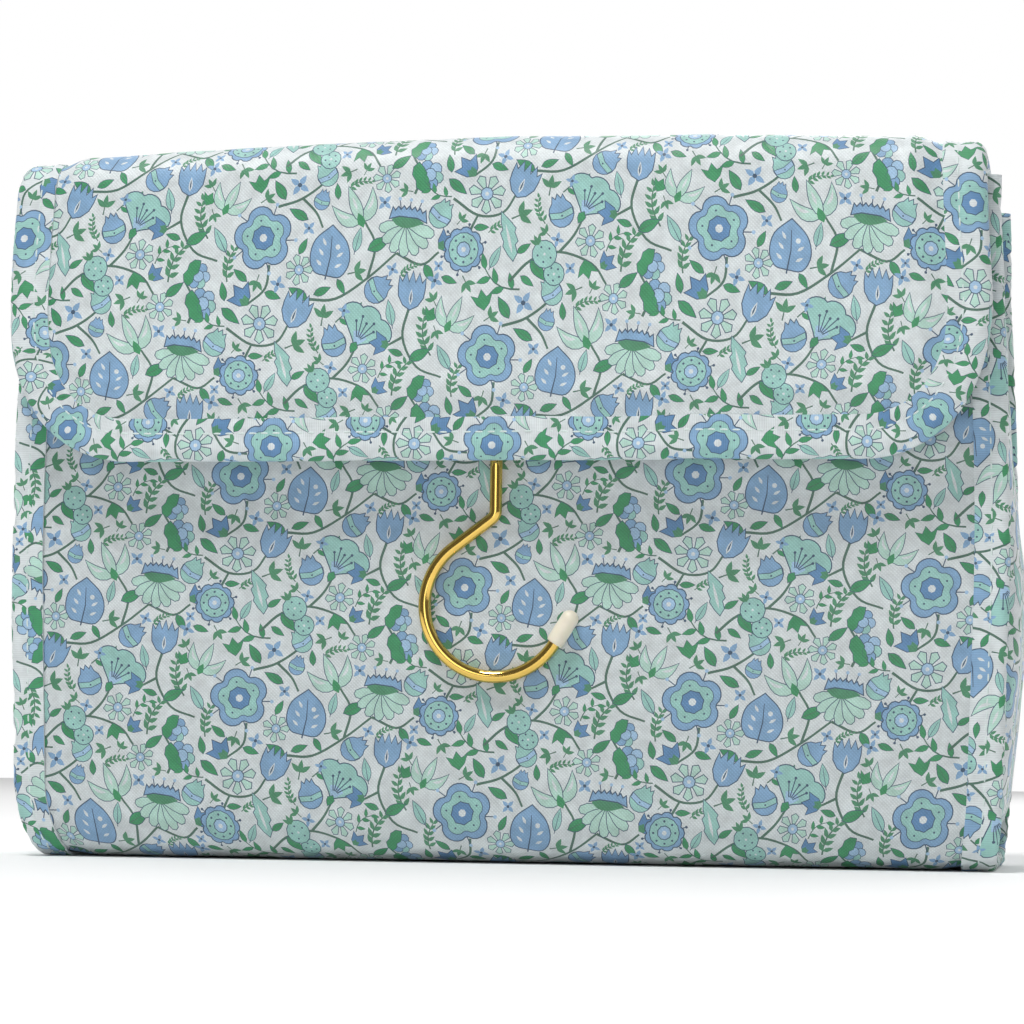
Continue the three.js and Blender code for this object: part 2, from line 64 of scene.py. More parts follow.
# The print's repeat, in millimetres: a column's width and the repeat up a column. Each column is
# dropped by half a repeat from the one beside it.
COLUMN = 64.0
REPEAT = 63.0

LINE_WIDTH = 0.32  # of the drawn outlines

INKS = {
    "ground": (0.875, 0.902, 0.908),
    "line": (0.28, 0.37, 0.46),
    "blue": (0.54, 0.69, 0.83),
    "deep_blue": (0.40, 0.57, 0.74),
    "pale_blue": (0.66, 0.79, 0.90),
    "mint": (0.63, 0.82, 0.79),
    "pale_mint": (0.74, 0.88, 0.83),
    "green": (0.27, 0.60, 0.41),
    "leaf": (0.33, 0.58, 0.44),
    "stem": (0.33, 0.47, 0.41),
}
INK_NAMES = list(INKS)


class Pen:
    """Draws closed shapes, the later ones over the earlier ones, in a frame that can be moved."""

    def __init__(self):
        self.shapes = []
        self.place(0, 0)

    def place(self, x, y, angle=0.0, size=1.0):
        self.origin = (x, y)
        self.turn = (cos(radians(angle)) * size, sin(radians(angle)) * size)

    def at(self, point):
        (x, y), (c, s) = point, self.turn
        return (self.origin[0] + x * c - y * s, self.origin[1] + x * s + y * c)

    def fill(self, points, ink):
        self.shapes.append(([self.at(p) for p in points], ink))

    def outlined(self, points, ink, width=LINE_WIDTH):
        self.fill(grown(points, width), "line")
        self.fill(points, ink)

    def stroke(self, points, width, ink="line", end_width=None):
        self.fill(ribbon(points, width, width if end_width is None else end_width), ink)

    def dot(self, x, y, radius, ink="line", sides=7):
        self.fill(ring(radius, sides, x, y), ink)


def signed_area(points):
    """Twice the area of a closed outline, below nought where it runs clockwise."""
    return sum(a[0] * b[1] - b[0] * a[1] for a, b in zip(points, points[1:] + points[:1]))


def grown(points, by):
    """A closed outline moved outwards along the mean normal of each corner."""
    side = 1 if signed_area(points) > 0 else -1
    result = []
    for i, (x, y) in enumerate(points):
        (ax, ay), (bx, by_) = points[i - 1], points[(i + 1) % len(points)]
        before = unit(y - ay, ax - x)
        after = unit(by_ - y, x - bx)
        mean = unit(before[0] + after[0], before[1] + after[1])
        miter = 1 / max(0.55, mean[0] * after[0] + mean[1] * after[1])
        result.append((x + side * by * miter * mean[0], y + side * by * miter * mean[1]))
    return result


def unit(x, y):
    length = hypot(x, y) or 1.0
    return (x / length, y / length)


def ribbon(points, width, end_width):
    """A line with a thickness that changes evenly along it."""
    left, right = [], []
    last = len(points) - 1
    for i, (x, y) in enumerate(points):
        (ax, ay), (bx, by) = points[max(i - 1, 0)], points[min(i + 1, last)]
        nx, ny = unit(ay - by, bx - ax)
        half = 0.5 * (width + (end_width - width) * i / last)
        left.append((x + nx * half, y + ny * half))
        right.append((x - nx * half, y - ny * half))
    return right + left[::-1]


def ring(radius, sides, x=0.0, y=0.0, squash=1.0):
    step = 2 * pi / sides
    return [(x + radius * cos(i * step), y + radius * squash * sin(i * step)) for i in range(sides)]


def curve(points, steps=8):
    """A smooth open curve through a few points."""
    ends = [mirror(points[1], points[0])] + list(points) + [mirror(points[-2], points[-1])]
    result = []
    for a, b, c, d in zip(ends, ends[1:], ends[2:], ends[3:]):
        for i in range(steps):
            t = i / steps
            result.append(tuple(spline(a[k], b[k], c[k], d[k], t) for k in (0, 1)))
    return result + [points[-1]]


def mirror(point, about):
    return (2 * about[0] - point[0], 2 * about[1] - point[1])


def spline(a, b, c, d, t):
    return 0.5 * (2 * b + (c - a) * t + (2 * a - 5 * b + 4 * c - d) * t * t + (3 * b - a - 3 * c + d) * t**3)


def radial(radius, count, depth, sharp, points_each, phase=0.0):
    """A round outline with petals: depth is how far the notches cut in, sharp how pointed they are."""
    total = count * points_each
    result = []
    for i in range(total):
        angle = 2 * pi * i / total
        lobe = abs(cos(0.5 * count * angle)) ** sharp
        r = radius * (1 - depth + depth * lobe)
        result.append((r * cos(angle + phase), r * sin(angle + phase)))
    return result


def leaf(length, width, steps=5, belly=0.45, bend=0.0):
    """A leaf from its stalk at the origin to its point along +X."""
    upper, lower = [], []
    for i in range(steps + 1):
        t = i / steps
        half = 0.5 * width * sin(pi * t ** (0.7 / (2 * belly))) if 0 < i < steps else 0.0
        sag = bend * sin(pi * t)
        upper.append((length * t, sag + half))
        lower.append((length * t, sag - half))
    return lower + upper[-2:0:-1]


def petal(length, width, steps=4):
    """A petal with a narrow foot at the origin and a round end along +X."""
    upper, lower = [], []
    for i in range(steps + 1):
        t = i / steps
        half = 0.5 * width * (0.22 + 0.78 * sin(0.5 * pi * min(1.0, 1.35 * t)) ** 1.3)
        half *= 1.0 if t < 1 else 0.62
        upper.append((length * 0.94 * t, half))
        lower.append((length * 0.94 * t, -half))
    return lower + [(length, 0.0)] + upper[::-1]


def turned(points, angle, x=0.0, y=0.0):
    c, s = cos(radians(angle)), sin(radians(angle))
    return [(x + px * c - py * s, y + px * s + py * c) for px, py in points]


def both_sides(points):
    """A closed outline from its half below the X axis, whose two ends lie on the axis."""
    return points + [(x, -y) for x, y in points[-2:0:-1]]


# ---- Motifs ----


def blossom(pen):
    """Five round petals in blue with mint inside them, and a dark eye."""
    for k in range(5):
        angle = 90 + 72 * k + 36
        pen.stroke(turned([(6.2, 0), (9.2, 0.4)], angle), 0.3)
        pen.dot(*turned([(9.4, 0.4)], angle)[0], 0.55, "pale_blue")
    pen.outlined(radial(8.2, 5, 0.34, 0.55, 9, pi / 2), "blue")
    pen.outlined(radial(6.1, 5, 0.34, 0.6, 7, pi / 2), "mint", 0.2)
    pen.outlined(radial(3.1, 8, 0.1, 1, 2), "deep_blue", 0.25)
    pen.fill(ring(1.1, 7), "ground")
    for k in range(5):
        pen.dot(*turned([(4.6, 0)], 90 + 72 * k)[0], 0.32, "line", 5)


def wheel(pen):
    """A round flower with a scalloped edge and rings inside it."""
    for k in range(6):
        pen.stroke(turned([(4.6, 0), (6.3, 0)], 60 * k + 15), 0.28)
        pen.dot(*turned([(6.4, 0)], 60 * k + 15)[0], 0.42, "line", 5)
    pen.outlined(radial(5.5, 9, 0.14, 0.7, 4), "blue")
    pen.outlined(ring(4.1, 14), "mint", 0.22)
    for k in range(8):
        pen.dot(*turned([(3.1, 0)], 45 * k)[0], 0.36, "line", 5)
    pen.outlined(ring(1.8, 9), "pale_blue", 0.25)
    pen.fill(ring(0.7, 6), "ground")


def parasol(pen):
    """Half a daisy seen from the side: hanging petals under a green collar and a frilled cap."""
    for k in range(7):
        pen.outlined(turned(petal(8.0, 3.0), -168 + 26 * k), "pale_mint", 0.22)
    pen.fill(turned(leaf(9.4, 3.6, 6), 0, -4.7, 0.9), "leaf")
    cap = [(-5.2, 1.2)]
    for k in range(7):
        x = -4.7 + 1.55 * k
        cap += [(x, 3.7 + 0.9 * sin(pi * (k + 0.5) / 7)), (x + 0.75, 2.7 + 1.0 * sin(pi * (k + 1) / 7))]
    cap = cap[:-1] + [(5.2, 1.2), (2.6, 2.1), (-2.6, 2.1)]
    pen.outlined(cap, "blue")
    for x in (-2.4, 0.1, 2.5):
        pen.stroke([(x, 3.9), (x * 1.3, 6.3)], 0.28)
        pen.dot(x * 1.3, 6.5, 0.5, "pale_blue")


def bell(pen):
    """A wide open bell: a scalloped fan with stamens."""
    fan = [(-1.2, 0.0), (0.2, -1.5)]
    for k in range(19):
        angle = radians(-52 + 104 * k / 18)
        reach = 11.0 * (0.90 + 0.10 * abs(sin(3 * pi * k / 18)) ** 0.7)
        fan.append((reach * cos(angle) - 1.2, reach * sin(angle)))
    pen.outlined(fan + [(0.2, 1.5)], "mint")
    pen.fill(both_sides([(-1.0, 0), (0.2, -1.2), (2.0, -2.2), (2.8, -0.8), (2.4, 0)]), "pale_blue")
    for k, angle in enumerate((-32, -16, 0, 16, 32)):
        reach = 5.4 + (k % 2) * 1.3
        pen.stroke(turned([(1.2, 0), (reach, 0)], angle), 0.3)
        pen.dot(*turned([(reach, 0)], angle)[0], 0.42, "line", 6)
    pen.outlined(turned(leaf(3.2, 2.2, 3), 180, -0.2, 0), "green", 0.15)


def tulip(pen, points=5):
    """A cup with jagged points along +X."""
    cup = [(0, 0), (1.2, -2.3), (3.6, -3.9), (6.2, -4.2)]
    top = []
    for k in range(points):
        y = -4.2 + 8.4 * k / (points - 1)
        reach = 10.6 - 0.10 * y * y
        top.append((reach, y))
        if k < points - 1:
            top.append((7.4, y + 4.2 / (points - 1)))
    cup += top + [(6.2, 4.2), (3.6, 3.9), (1.2, 2.3)]
    pen.outlined(cup, "blue")
    pen.fill(turned(leaf(4.6, 1.3, 4), 0, 1.2, 0), "ground")
    pen.fill(turned(leaf(3.4, 0.5, 3), 0, 1.8, 0), "line")


def small_tulip(pen):
    """A small cup with three points, in a green foot."""
    pen.outlined(both_sides([(0, 0), (1.2, -1.9), (4.4, -3.6), (3.9, -1.4), (6.3, 0)]), "deep_blue", 0.25)
    pen.fill(both_sides([(-0.3, 0), (0.7, -1.4), (2.6, -0.9), (2.0, 0)]), "leaf")


def heart_leaf(pen):
    """A broad blue leaf with slits cut beside its rib."""
    outline = curve([(0, 0), (0.5, -4.4), (4.8, -6.1), (9.6, -4.2), (13.2, 0.8)], 4)[:-1]
    outline += curve([(13.2, 0.8), (8.6, 4.9), (3.6, 5.4), (0.4, 3.4), (0, 0)], 4)[:-1]
    pen.outlined(outline, "blue")
    pen.stroke([(-1.2, -0.2), (5, -0.4), (10.4, 0.4)], 0.45, "line", 0.2)
    for x, y, angle in ((2.2, 2.0, 55), (4.9, 2.0, 48), (7.6, 1.8, 38), (2.4, -2.2, -55), (5.2, -2.2, -48)):
        pen.fill(turned(leaf(2.4, 0.9, 3), angle, x, y - 0.3 * (y > 0)), "ground")
    pen.dot(7.9, -2.0, 0.75, "ground")


def berries(pen):
    """Two round fruits, dotted, with a small crown of leaves."""
    for x, y, r in ((0.4, -2.9, 2.9), (0, 2.9, 3.5)):
        pen.outlined(ring(r, 13, x, y), "mint", 0.25)
        for k in range(5):
            dx, dy = turned([(r * 0.58, 0)], 72 * k + 20)[0]
            pen.dot(x + dx, y + dy, 0.33, "line", 5)
        pen.dot(x, y, 0.4, "ground", 5)
    for angle in (60, 95, 130):
        pen.fill(turned(leaf(3.0, 1.2, 3), angle, -0.5, 5.8), "leaf")


def cluster(pen):
    """A bunch of small round fruits in half a green hood."""
    for x, y, ink in ((1.2, 2.2, "blue"), (3.3, 0.6, "pale_blue"), (2.9, -1.8, "mint"), (0.9, -2.7, "blue")):
        pen.outlined(ring(1.6, 9, x, y), ink, 0.22)
    pen.outlined(ring(1.7, 9, 1.2, -0.3), "pale_blue", 0.22)
    hood = [(-0.6, 4.1), (-2.4, 3.4), (-3.4, 1.6), (-3.0, -0.4), (-3.5, -2.2), (-2.2, -4.0), (-0.3, -4.4)]
    hood += [(0.3, -2.6), (-0.3, -0.8), (0.5, 0.6), (0.1, 2.4)]
    pen.outlined(hood, "green", 0.2)


def bud(pen, ink="blue"):
    """A round bud with a band across it and a toothed mouth."""
    mouth = [(-1.9, 3.0), (-1.5, 4.5), (-0.8, 3.6), (0.0, 4.9), (0.8, 3.6), (1.5, 4.5), (1.9, 3.0)]
    body = [(3.4 * cos(a), 3.5 * sin(a)) for a in [radians(55 - 290 * k / 12) for k in range(13)]]
    pen.outlined(body + mouth, ink, 0.25)
    band = [(-3.2, 0.6), (0, 0.0), (3.2, 0.6), (3.1, -0.8), (0, -1.4), (-3.1, -0.8)]
    pen.outlined(band, "mint" if ink != "mint" else "pale_blue", 0.2)
    pen.dot(0, -0.7, 0.3, "line", 5)


def bud_pale(pen):
    bud(pen, "mint")


def daisy(pen, petals=7):
    """Narrow pale petals round a ringed eye."""
    outline = [(1.3, -0.25), (3.4, -0.95), (4.1, 0), (3.4, 0.95), (1.3, 0.25)]
    for k in range(petals):
        pen.outlined(turned(outline, 360 * k / petals), "pale_mint", 0.2)
    pen.outlined(ring(1.3, 8), "pale_blue", 0.2)
    pen.fill(ring(0.5, 5), "ground")


def feather(pen):
    """A long toothed leaf with a pale rib."""
    low = [(0, 0), (1.8, -1.6), (4.2, -1.5), (5.0, -2.5), (7.6, -2.0), (8.6, -2.6), (11.0, -1.2), (14.0, 0.8)]
    high = [(11.2, 1.4), (9.0, 1.3), (8.2, 2.2), (5.6, 1.7), (4.6, 2.2), (2.0, 1.2)]
    pen.outlined(low + high, "mint", 0.25)
    pen.fill(turned(leaf(8.6, 0.9, 4), 2, 2.0, -0.1), "ground")


def lily(pen):
    """Three long petals that curl out of one cup, the outer two with a slit."""
    for side in (1, -1):
        pen.outlined(turned(leaf(10.4, 3.6, 6, 0.5, 1.5 * side), 40 * side), "pale_mint", 0.25)
        pen.fill(turned(leaf(5.2, 1.0, 4, 0.5, 0.7 * side), 44 * side, 2.6, 2.6 * side), "ground")
    pen.outlined(leaf(11.2, 3.4, 6), "pale_mint", 0.25)
    pen.fill(turned(leaf(4.6, 0.9, 3), 0, 3.6, 0), "ground")
    pen.fill(turned(leaf(4.6, 2.6, 3), 0, -1.6, 0), "green")


def twinkle(pen):
    """A tiny four-petalled flower."""
    for k in range(4):
        pen.fill(turned(leaf(2.4, 1.3, 3), 45 + 90 * k), "blue")
    pen.dot(0, 0, 0.5, "line", 6)


def sprig(pen, pairs=5, length=11.0, bend=1.5, leaf_size=3.0):
    """A small stem with leaves in pairs and one at its end."""
    spine = [(length * t, bend * sin(pi * t)) for t in (0, 0.25, 0.5, 0.75, 1.0)]
    pen.stroke(spine, 0.5, "stem", 0.3)
    for k in range(pairs):
        t = (k + 0.6) / (pairs + 0.3)
        x, y = length * t, bend * sin(pi * t)
        size = leaf_size * (1.1 - 0.35 * t)
        for side in (-1, 1):
            pen.fill(turned(leaf(size, size * 0.46, 3), side * 42, x, y), "leaf")
    pen.fill(turned(leaf(leaf_size * 0.8, leaf_size * 0.4, 3), 0, length, 0), "leaf")


def branch(pen, leaves=5, length=14.0, bend=2.5, size=4.8):
    """A bent twig with single leaves to either side of it in turn."""
    spine = [(length * t, bend * sin(pi * t)) for t in (0, 0.2, 0.4, 0.6, 0.8, 1.0)]
    pen.stroke(spine, 0.6, "stem", 0.35)
    for k in range(leaves):
        t = (k + 0.8) / (leaves + 0.2)
        side = 1 if k % 2 else -1
        x, y = length * t, bend * sin(pi * t)
        pen.outlined(turned(leaf(size, size * 0.4, 4), side * 48, x, y), "green", 0.12)


def broad_leaf(pen, length=8.5):
    """A green leaf from its stalk, with a short rib."""
    pen.outlined(leaf(length, length * 0.44, 6), "green", 0.25)
    pen.stroke([(0.5, 0), (length * 0.75, 0)], 0.32, "stem", 0.15)


def calyx(pen):
    """Three green lobes that spread from a stalk."""
    pen.outlined(both_sides([(0, 0), (1.9, -2.2), (5.0, -3.8), (4.0, -1.5), (6.4, 0)]), "green", 0.15)


def stem(pen, points, width=0.75):
    pen.stroke(curve(points, 5), width, "stem", width * 0.75)


def small_leaf(pen):
    """A leaf on its own, about its middle."""
    pen.outlined(turned(leaf(7.4, 3.0, 5), 0, -3.7, 0), "green", 0.22)
    pen.stroke([(-3.4, 0), (1.6, 0)], 0.28, "stem", 0.12)


def pale_leaf(pen):
    """A long pale leaf about its middle, with a drawn rib."""
    pen.outlined(turned(leaf(8.6, 3.2, 6), 0, -4.3, 0), "mint", 0.22)
    pen.stroke([(-5.4, 0), (2.8, 0)], 0.3, "line", 0.15)


def leaf_pair(pen):
    """Two small leaves and a third between them, on a short stalk."""
    pen.stroke([(-3.2, 0), (0.4, 0)], 0.45, "stem", 0.3)
    for angle in (52, -52, 0):
        pen.fill(turned(leaf(4.0, 1.7, 4), angle, -0.8, 0), "leaf")


# Where everything stands in one repeat: the motif, its place, the way it points and its size.
STEMS = (
    ((3, 22), (10, 17.5), (17, 18), (21, 23)),
    ((19, 1), (25, 6), (33, 8), (42, 5), (46, 0)),
    ((33, 8), (37, 12), (40, 17)),
    ((26, 29), (34, 29), (43, 34), (51, 40)),
    ((43, 34), (45, 42), (42, 48)),
    ((15, 38), (14, 32), (9, 28)),
    ((55, 27), (53, 19), (57, 11), (64, 8)),
    ((53, 19), (49, 17)),
    ((17, 53), (24, 55), (31, 60), (34, 66)),
    ((24, 55), (28, 51), (30, 47)),
    ((51, 40), (58, 37), (63, 40)),
    ((8, 14), (10, 17.5)),
    ((56, 55), (58, 60), (55, 66)),
)

MOTIFS = (
    (blossom, 13, 45, 10, 1.0),
    (bell, 40, 18, 58, 1.0),
    (parasol, 54, 47, -8, 1.0),
    (heart_leaf, 31, 35, 78, 0.95),
    (tulip, 21, 22, 66, 0.92),
    (wheel, 6, 9, 0, 1.0),
    (tulip, 55, 26, 84, 0.88),
    (berries, 30, 5, 25, 0.95),
    (lily, 41, 48, 112, 0.92),
    (bud, 45.5, 31, -60, 0.95),
    (daisy, 23.5, 36.5, 0, 0.95),
    (small_tulip, 9, 28, 128, 1.0),
    (cluster, 59, 60, 20, 1.0),
    (daisy, 48, 59.5, 20, 0.95),
    (small_tulip, 49, 17, 172, 0.85),
    (feather, 20, 6, 102, 0.9),
    (twinkle, 62, 33, 20, 1.0),
    (twinkle, 26, 47, 0, 0.9),
    (bud_pale, 31, 61, 30, 0.85),
    (small_tulip, 63, 41, 35, 0.85),
    (twinkle, 36.5, 26, 30, 0.8),
)

GREENS = (
    (sprig, 50, 3, 62, 1.0),
    (sprig, 3, 34, 75, 0.85),
    (sprig, 61, 14, 100, 0.95),
    (branch, 22, 62, 150, 0.85),
    (branch, 34, 23, 12, 0.62),
    (branch, 2.5, 22.5, 150, 0.6),
    (sprig, 13, 13, 20, 0.55),
    (broad_leaf, 43, 41, 25, 0.8),
    (broad_leaf, 26, 29, 150, 0.7),
    (broad_leaf, 55, 13, 25, 0.75),
    (broad_leaf, 25, 6, -50, 0.75),
    (calyx, 12, 57, 100, 0.8),
    (calyx, 40, 6, -75, 0.75),
    (sprig, 37, 57, 15, 0.62),
    (sprig, 29, 15, 105, 0.62),
    (branch, 46, 8, 40, 0.5),
    (broad_leaf, 19, 55, 120, 0.7),
    (broad_leaf, 59, 37, -60, 0.6),
    (sprig, 52, 34, 30, 0.5),
    (calyx, 60, 23, 60, 0.6),
    (broad_leaf, 14, 31, -20, 0.55),
)

# What fills the spaces between them: the motif, its middle, the way it points and its size.
FILLERS = (
    (daisy, 12.5, 23, 10, 1.25),
    (lily, 1.6, 52.6, 62, 0.78),
    (bud, 33.5, 17.6, 15, 1.0),
    (daisy, 41.6, 10.6, 30, 1.0),
    (bud_pale, 63.3, 49.2, -35, 0.92),
    (cluster, 58, 5, -30, 0.85),
    (pale_leaf, 0.6, 45, 118, 0.85),
    (leaf_pair, 22.5, 17.5, 20, 1.0),
    (twinkle, 23, 58.7, 10, 1.35),
    (pale_leaf, 40, 43.6, 75, 0.72),
    (small_leaf, 4.2, 25.2, -40, 0.85),
    (leaf_pair, 30.5, 25, 80, 0.9),
    (pale_leaf, 49.5, 25.2, 100, 0.75),
    (small_leaf, 23, 50.8, 150, 0.8),
    (bud, 29.5, 54, -20, 0.66),
    (leaf_pair, 37, 61.5, 200, 0.8),
    (small_leaf, 52, 1, 35, 0.8),
    (small_tulip, 44.6, 4.0, 40, 0.72),
    (pale_leaf, 15, 7, 60, 0.68),
    (leaf_pair, 40, 35.6, 10, 0.85),
    (small_leaf, 2, 31.6, 100, 0.66),
    (leaf_pair, 7, 0.5, -60, 0.75),
    (small_leaf, 30.2, 31, 20, 0.66),
    (twinkle, 17.6, 33, 25, 1.0),
    (leaf_pair, 11.4, 33.4, 250, 0.75),
    (small_leaf, 6.8, 35.6, 140, 0.66),
    (twinkle, 47.5, 53, 0, 1.0),
    (leaf_pair, 14, 55.5, 30, 0.75),
    (small_leaf, 2, 1.6, -20, 0.6),
    (leaf_pair, 61.5, 28.5, 120, 0.65),
    (twinkle, 50, 36, 15, 0.85),
    (small_leaf, 24.5, 42.4, 60, 0.6),
    (leaf_pair, 53.5, 56, 170, 0.65),
    (small_leaf, 24, 1, -35, 0.58),
    (twinkle, 32.4, 11, 30, 0.85),
    (small_leaf, 51, 15, 160, 0.58),
    (leaf_pair, 62.5, 20, -70, 0.62),
    (small_leaf, 34, 56.5, 95, 0.58),
    (leaf_pair, 42.4, 62.4, 60, 0.6),
    (twinkle, 36, 4, 0, 0.8),
    (small_leaf, 23, 9, 30, 0.58),
    (leaf_pair, 29, 13, 140, 0.6),
    (small_leaf, 11, 14.4, 0, 0.56),
    (leaf_pair, 5.4, 16.6, 45, 0.6),
    (small_leaf, 35.5, 32, -60, 0.58),
    (twinkle, 63, 36.6, 0, 0.75),
)


def draw_repeat():
    """The shapes of one repeat, each an outline and its ink, from the lowest to the uppermost."""
    pen = Pen()
    for points in STEMS:
        pen.place(0, 0)
        stem(pen, points)
    for motif, x, y, angle, size in GREENS + FILLERS + MOTIFS:
        pen.place(x, y, angle, size)
        motif(pen)
    return pen.shapes


# ---- The repeat, cut into triangles ----

CELL_STEPS = 18  # stretches along each side of the repeat, an even number so that the drop fits them


def repeat_triangles():
    """Points, triangles and inks of one rectangle of the print, whose sides match its neighbours'."""
    shapes = draw_repeat()
    points, faces, inks = [], [], []

    def add(outline, ink):
        start = len(points)
        points.extend(outline if signed_area(outline) > 0 else outline[::-1])
        faces.append(list(range(start, len(points))))
        inks.append(ink)

    sides = [i / CELL_STEPS for i in range(CELL_STEPS)]
    rectangle = [(COLUMN * t, 0.0) for t in sides] + [(COLUMN, REPEAT * t) for t in sides]
    rectangle += [(COLUMN * (1 - t), REPEAT) for t in sides] + [(0.0, REPEAT * (1 - t)) for t in sides]
    add(rectangle, "ground")
    for column in (-1, 0, 1):
        for row in (-2, -1, 0, 1, 2):
            dx = column * COLUMN
            dy = row * REPEAT + column * REPEAT / 2
            for outline, ink in shapes:
                moved = [(x + dx, y + dy) for x, y in outline]
                xs, ys = zip(*moved)
                if max(xs) > 0 and min(xs) < COLUMN and max(ys) > 0 and min(ys) < REPEAT:
                    add(moved, ink)
    for i in range(1, CELL_STEPS):
        for j in range(1, CELL_STEPS):
            shift = 0.5 * (j % 2)
            if i + shift < CELL_STEPS:
                points.append((COLUMN * (i + shift) / CELL_STEPS, REPEAT * j / CELL_STEPS))
    result = delaunay_2d_cdt([Vector(p) for p in points], [], faces, 1, 1e-5, True)
    where = np.array([tuple(p) for p in result[0]])
    kept = [(face, max(ids)) for face, ids in zip(result[2], result[5]) if 0 in ids and len(face) == 3]
    triangles = np.array([face for face, _ in kept])
    names = np.array([INK_NAMES.index(inks[top]) for _, top in kept])
    return match_sides(where), triangles, names


def match_sides(points):
    """Gives the right and upper sides exactly the left and lower sides' points, moved by the repeat."""
    close = 1e-3
    left = points[np.abs(points[:, 0]) < close][:, 1]
    for i in np.nonzero(np.abs(points[:, 0] - COLUMN) < close)[0]:
        y = (points[i, 1] - REPEAT / 2) % REPEAT
        gap = np.abs((left - y + REPEAT / 2) % REPEAT - REPEAT / 2)
        best = left[np.argmin(gap)]
        turns = round((points[i, 1] - best - REPEAT / 2) / REPEAT)
        points[i] = (COLUMN, best + REPEAT / 2 + turns * REPEAT)
    points[np.abs(points[:, 0]) < close, 0] = 0.0
    low = points[np.abs(points[:, 1]) < close][:, 0]
    for i in np.nonzero(np.abs(points[:, 1] - REPEAT) < close)[0]:
        points[i] = (low[np.argmin(np.abs(low - points[i, 0]))], REPEAT)
    points[np.abs(points[:, 1]) < close, 1] = 0.0
    return points


REPEAT_POINTS, REPEAT_FACES, REPEAT_INKS = repeat_triangles()


def print_over(low, high):
    """The print over a rectangle, with ragged edges: points, triangles and inks."""
    points, faces, inks = [], [], []
    count = 0
    corners = REPEAT_POINTS[REPEAT_FACES]
    least, most = corners.min(1), corners.max(1)
    for column in range(int(low[0] // COLUMN), int(high[0] // COLUMN) + 1):
        drop = (column % 2) * REPEAT / 2 + (column // 2) * REPEAT
        for row in range(int((low[1] - drop) // REPEAT), int((high[1] - drop) // REPEAT) + 1):
            offset = np.array([column * COLUMN, row * REPEAT + drop])
            inside = ((most + offset >= low) & (least + offset <= high)).all(1)
            if not inside.any():
                continue
            points.append(REPEAT_POINTS + offset)
            faces.append(REPEAT_FACES[inside] + count)
            inks.append(REPEAT_INKS[inside])
            count += len(REPEAT_POINTS)
    return merged(np.concatenate(points), np.concatenate(faces), np.concatenate(inks))


def merged(points, faces, inks):
    """Joins points that fall together and drops those that no triangle uses."""
    keys, where = np.unique(np.round(points * 1e4).astype(np.int64), axis=0, return_inverse=True)
    faces = where.reshape(-1)[faces]
    solid = (faces[:, 0] != faces[:, 1]) & (faces[:, 1] != faces[:, 2]) & (faces[:, 2] != faces[:, 0])
    faces, inks = faces[solid], inks[solid]
    used, faces = np.unique(faces, return_inverse=True)
    return keys[used] / 1e4, faces.reshape(-1, 3), inks


def clipped(points, faces, inks, normal, limit):
    """Keeps what lies on the inner side of a line, with the triangles across it cut."""
    inside = points @ np.array(normal) <= limit + 1e-6
    count = inside[faces].sum(1)
    crossing = (count == 1) | (count == 2)
    new_points, new_faces, new_inks, cuts = [], [], [], {}

    def cut(a, b):
        key = (min(a, b), max(a, b))
        if key not in cuts:
            p, q = points[key[0]], points[key[1]]
            dp, dq = p @ np.array(normal) - limit, q @ np.array(normal) - limit
            cuts[key] = len(points) + len(new_points)
            new_points.append(p + (q - p) * (dp / (dp - dq)))
        return cuts[key]

    for face, ink in zip(faces[crossing], inks[crossing]):
        outline = []
        for a, b in zip(face, np.roll(face, -1)):
            if inside[a]:
                outline.append(a)
            if inside[a] != inside[b]:
                outline.append(cut(a, b))
        for b, c in zip(outline[1:], outline[2:]):
            new_faces.append((outline[0], b, c))
            new_inks.append(ink)
    whole = count == 3
    if new_faces:
        points = np.concatenate([points, new_points])
        faces = np.concatenate([faces[whole], new_faces])
        inks = np.concatenate([inks[whole], new_inks])
    else:
        faces, inks = faces[whole], inks[whole]
    return merged(points, faces, inks)


# ---- Cutting a piece of cloth and laying it on a surface ----


class Region:
    """A convex outline, anticlockwise, in a piece's own flat coordinates."""

    def __init__(self, outline):
        self.outline = np.array(outline, float)

    def lines(self):
        ahead = np.roll(self.outline, -1, 0) - self.outline
        normals = np.stack([ahead[:, 1], -ahead[:, 0]], 1) / np.linalg.norm(ahead, axis=1)[:, None]
        return [(n, float(n @ p)) for n, p in zip(normals, self.outline)]


def rectangle(u, v):
    return Region([(u[0], v[0]), (u[1], v[0]), (u[1], v[1]), (u[0], v[1])])


class Print:
    """How a piece lies on the printed cloth: which way up it is cut, and from where."""

    def __init__(self, across=1, up=1, at=(0.0, 0.0), turned=False):
        self.scale = np.array([across, up], float)
        self.offset = np.array(at, float)
        self.turned = turned

    def on_cloth(self, points):
        moved = points[:, ::-1] if self.turned else points
        return moved * self.scale + self.offset

    def on_piece(self, points):
        moved = (points - self.offset) / self.scale
        return moved[:, ::-1] if self.turned else moved


def loop_round(faces):
    """The points along the open edge of some triangles, in order."""
    edges = np.concatenate([faces[:, [0, 1]], faces[:, [1, 2]], faces[:, [2, 0]]])
    _, first, count = np.unique(np.sort(edges, 1), axis=0, return_index=True, return_counts=True)
    after = {int(a): int(b) for a, b in edges[first[count == 1]]}
    start = next(iter(after))
    loop = [start]
    while after[loop[-1]] != start:
        loop.append(after[loop[-1]])
    if len(loop) != len(after):
        raise ValueError("the piece's edge isn't one loop")
    return loop


def flat_grid(region, step):
    """Points spread over a region, clear of its edge."""
    low, high = region.outline.min(0), region.outline.max(0)
    counts = np.maximum(np.ceil((high - low) / step).astype(int), 2)
    grid = [low + (high - low) * (i, j) / counts for i in range(1, counts[0]) for j in range(1, counts[1])]
    inner = [p for p in grid if all(n @ p < limit - 0.3 * min(step) for n, limit in region.lines())]
    return np.array(inner).reshape(-1, 2)


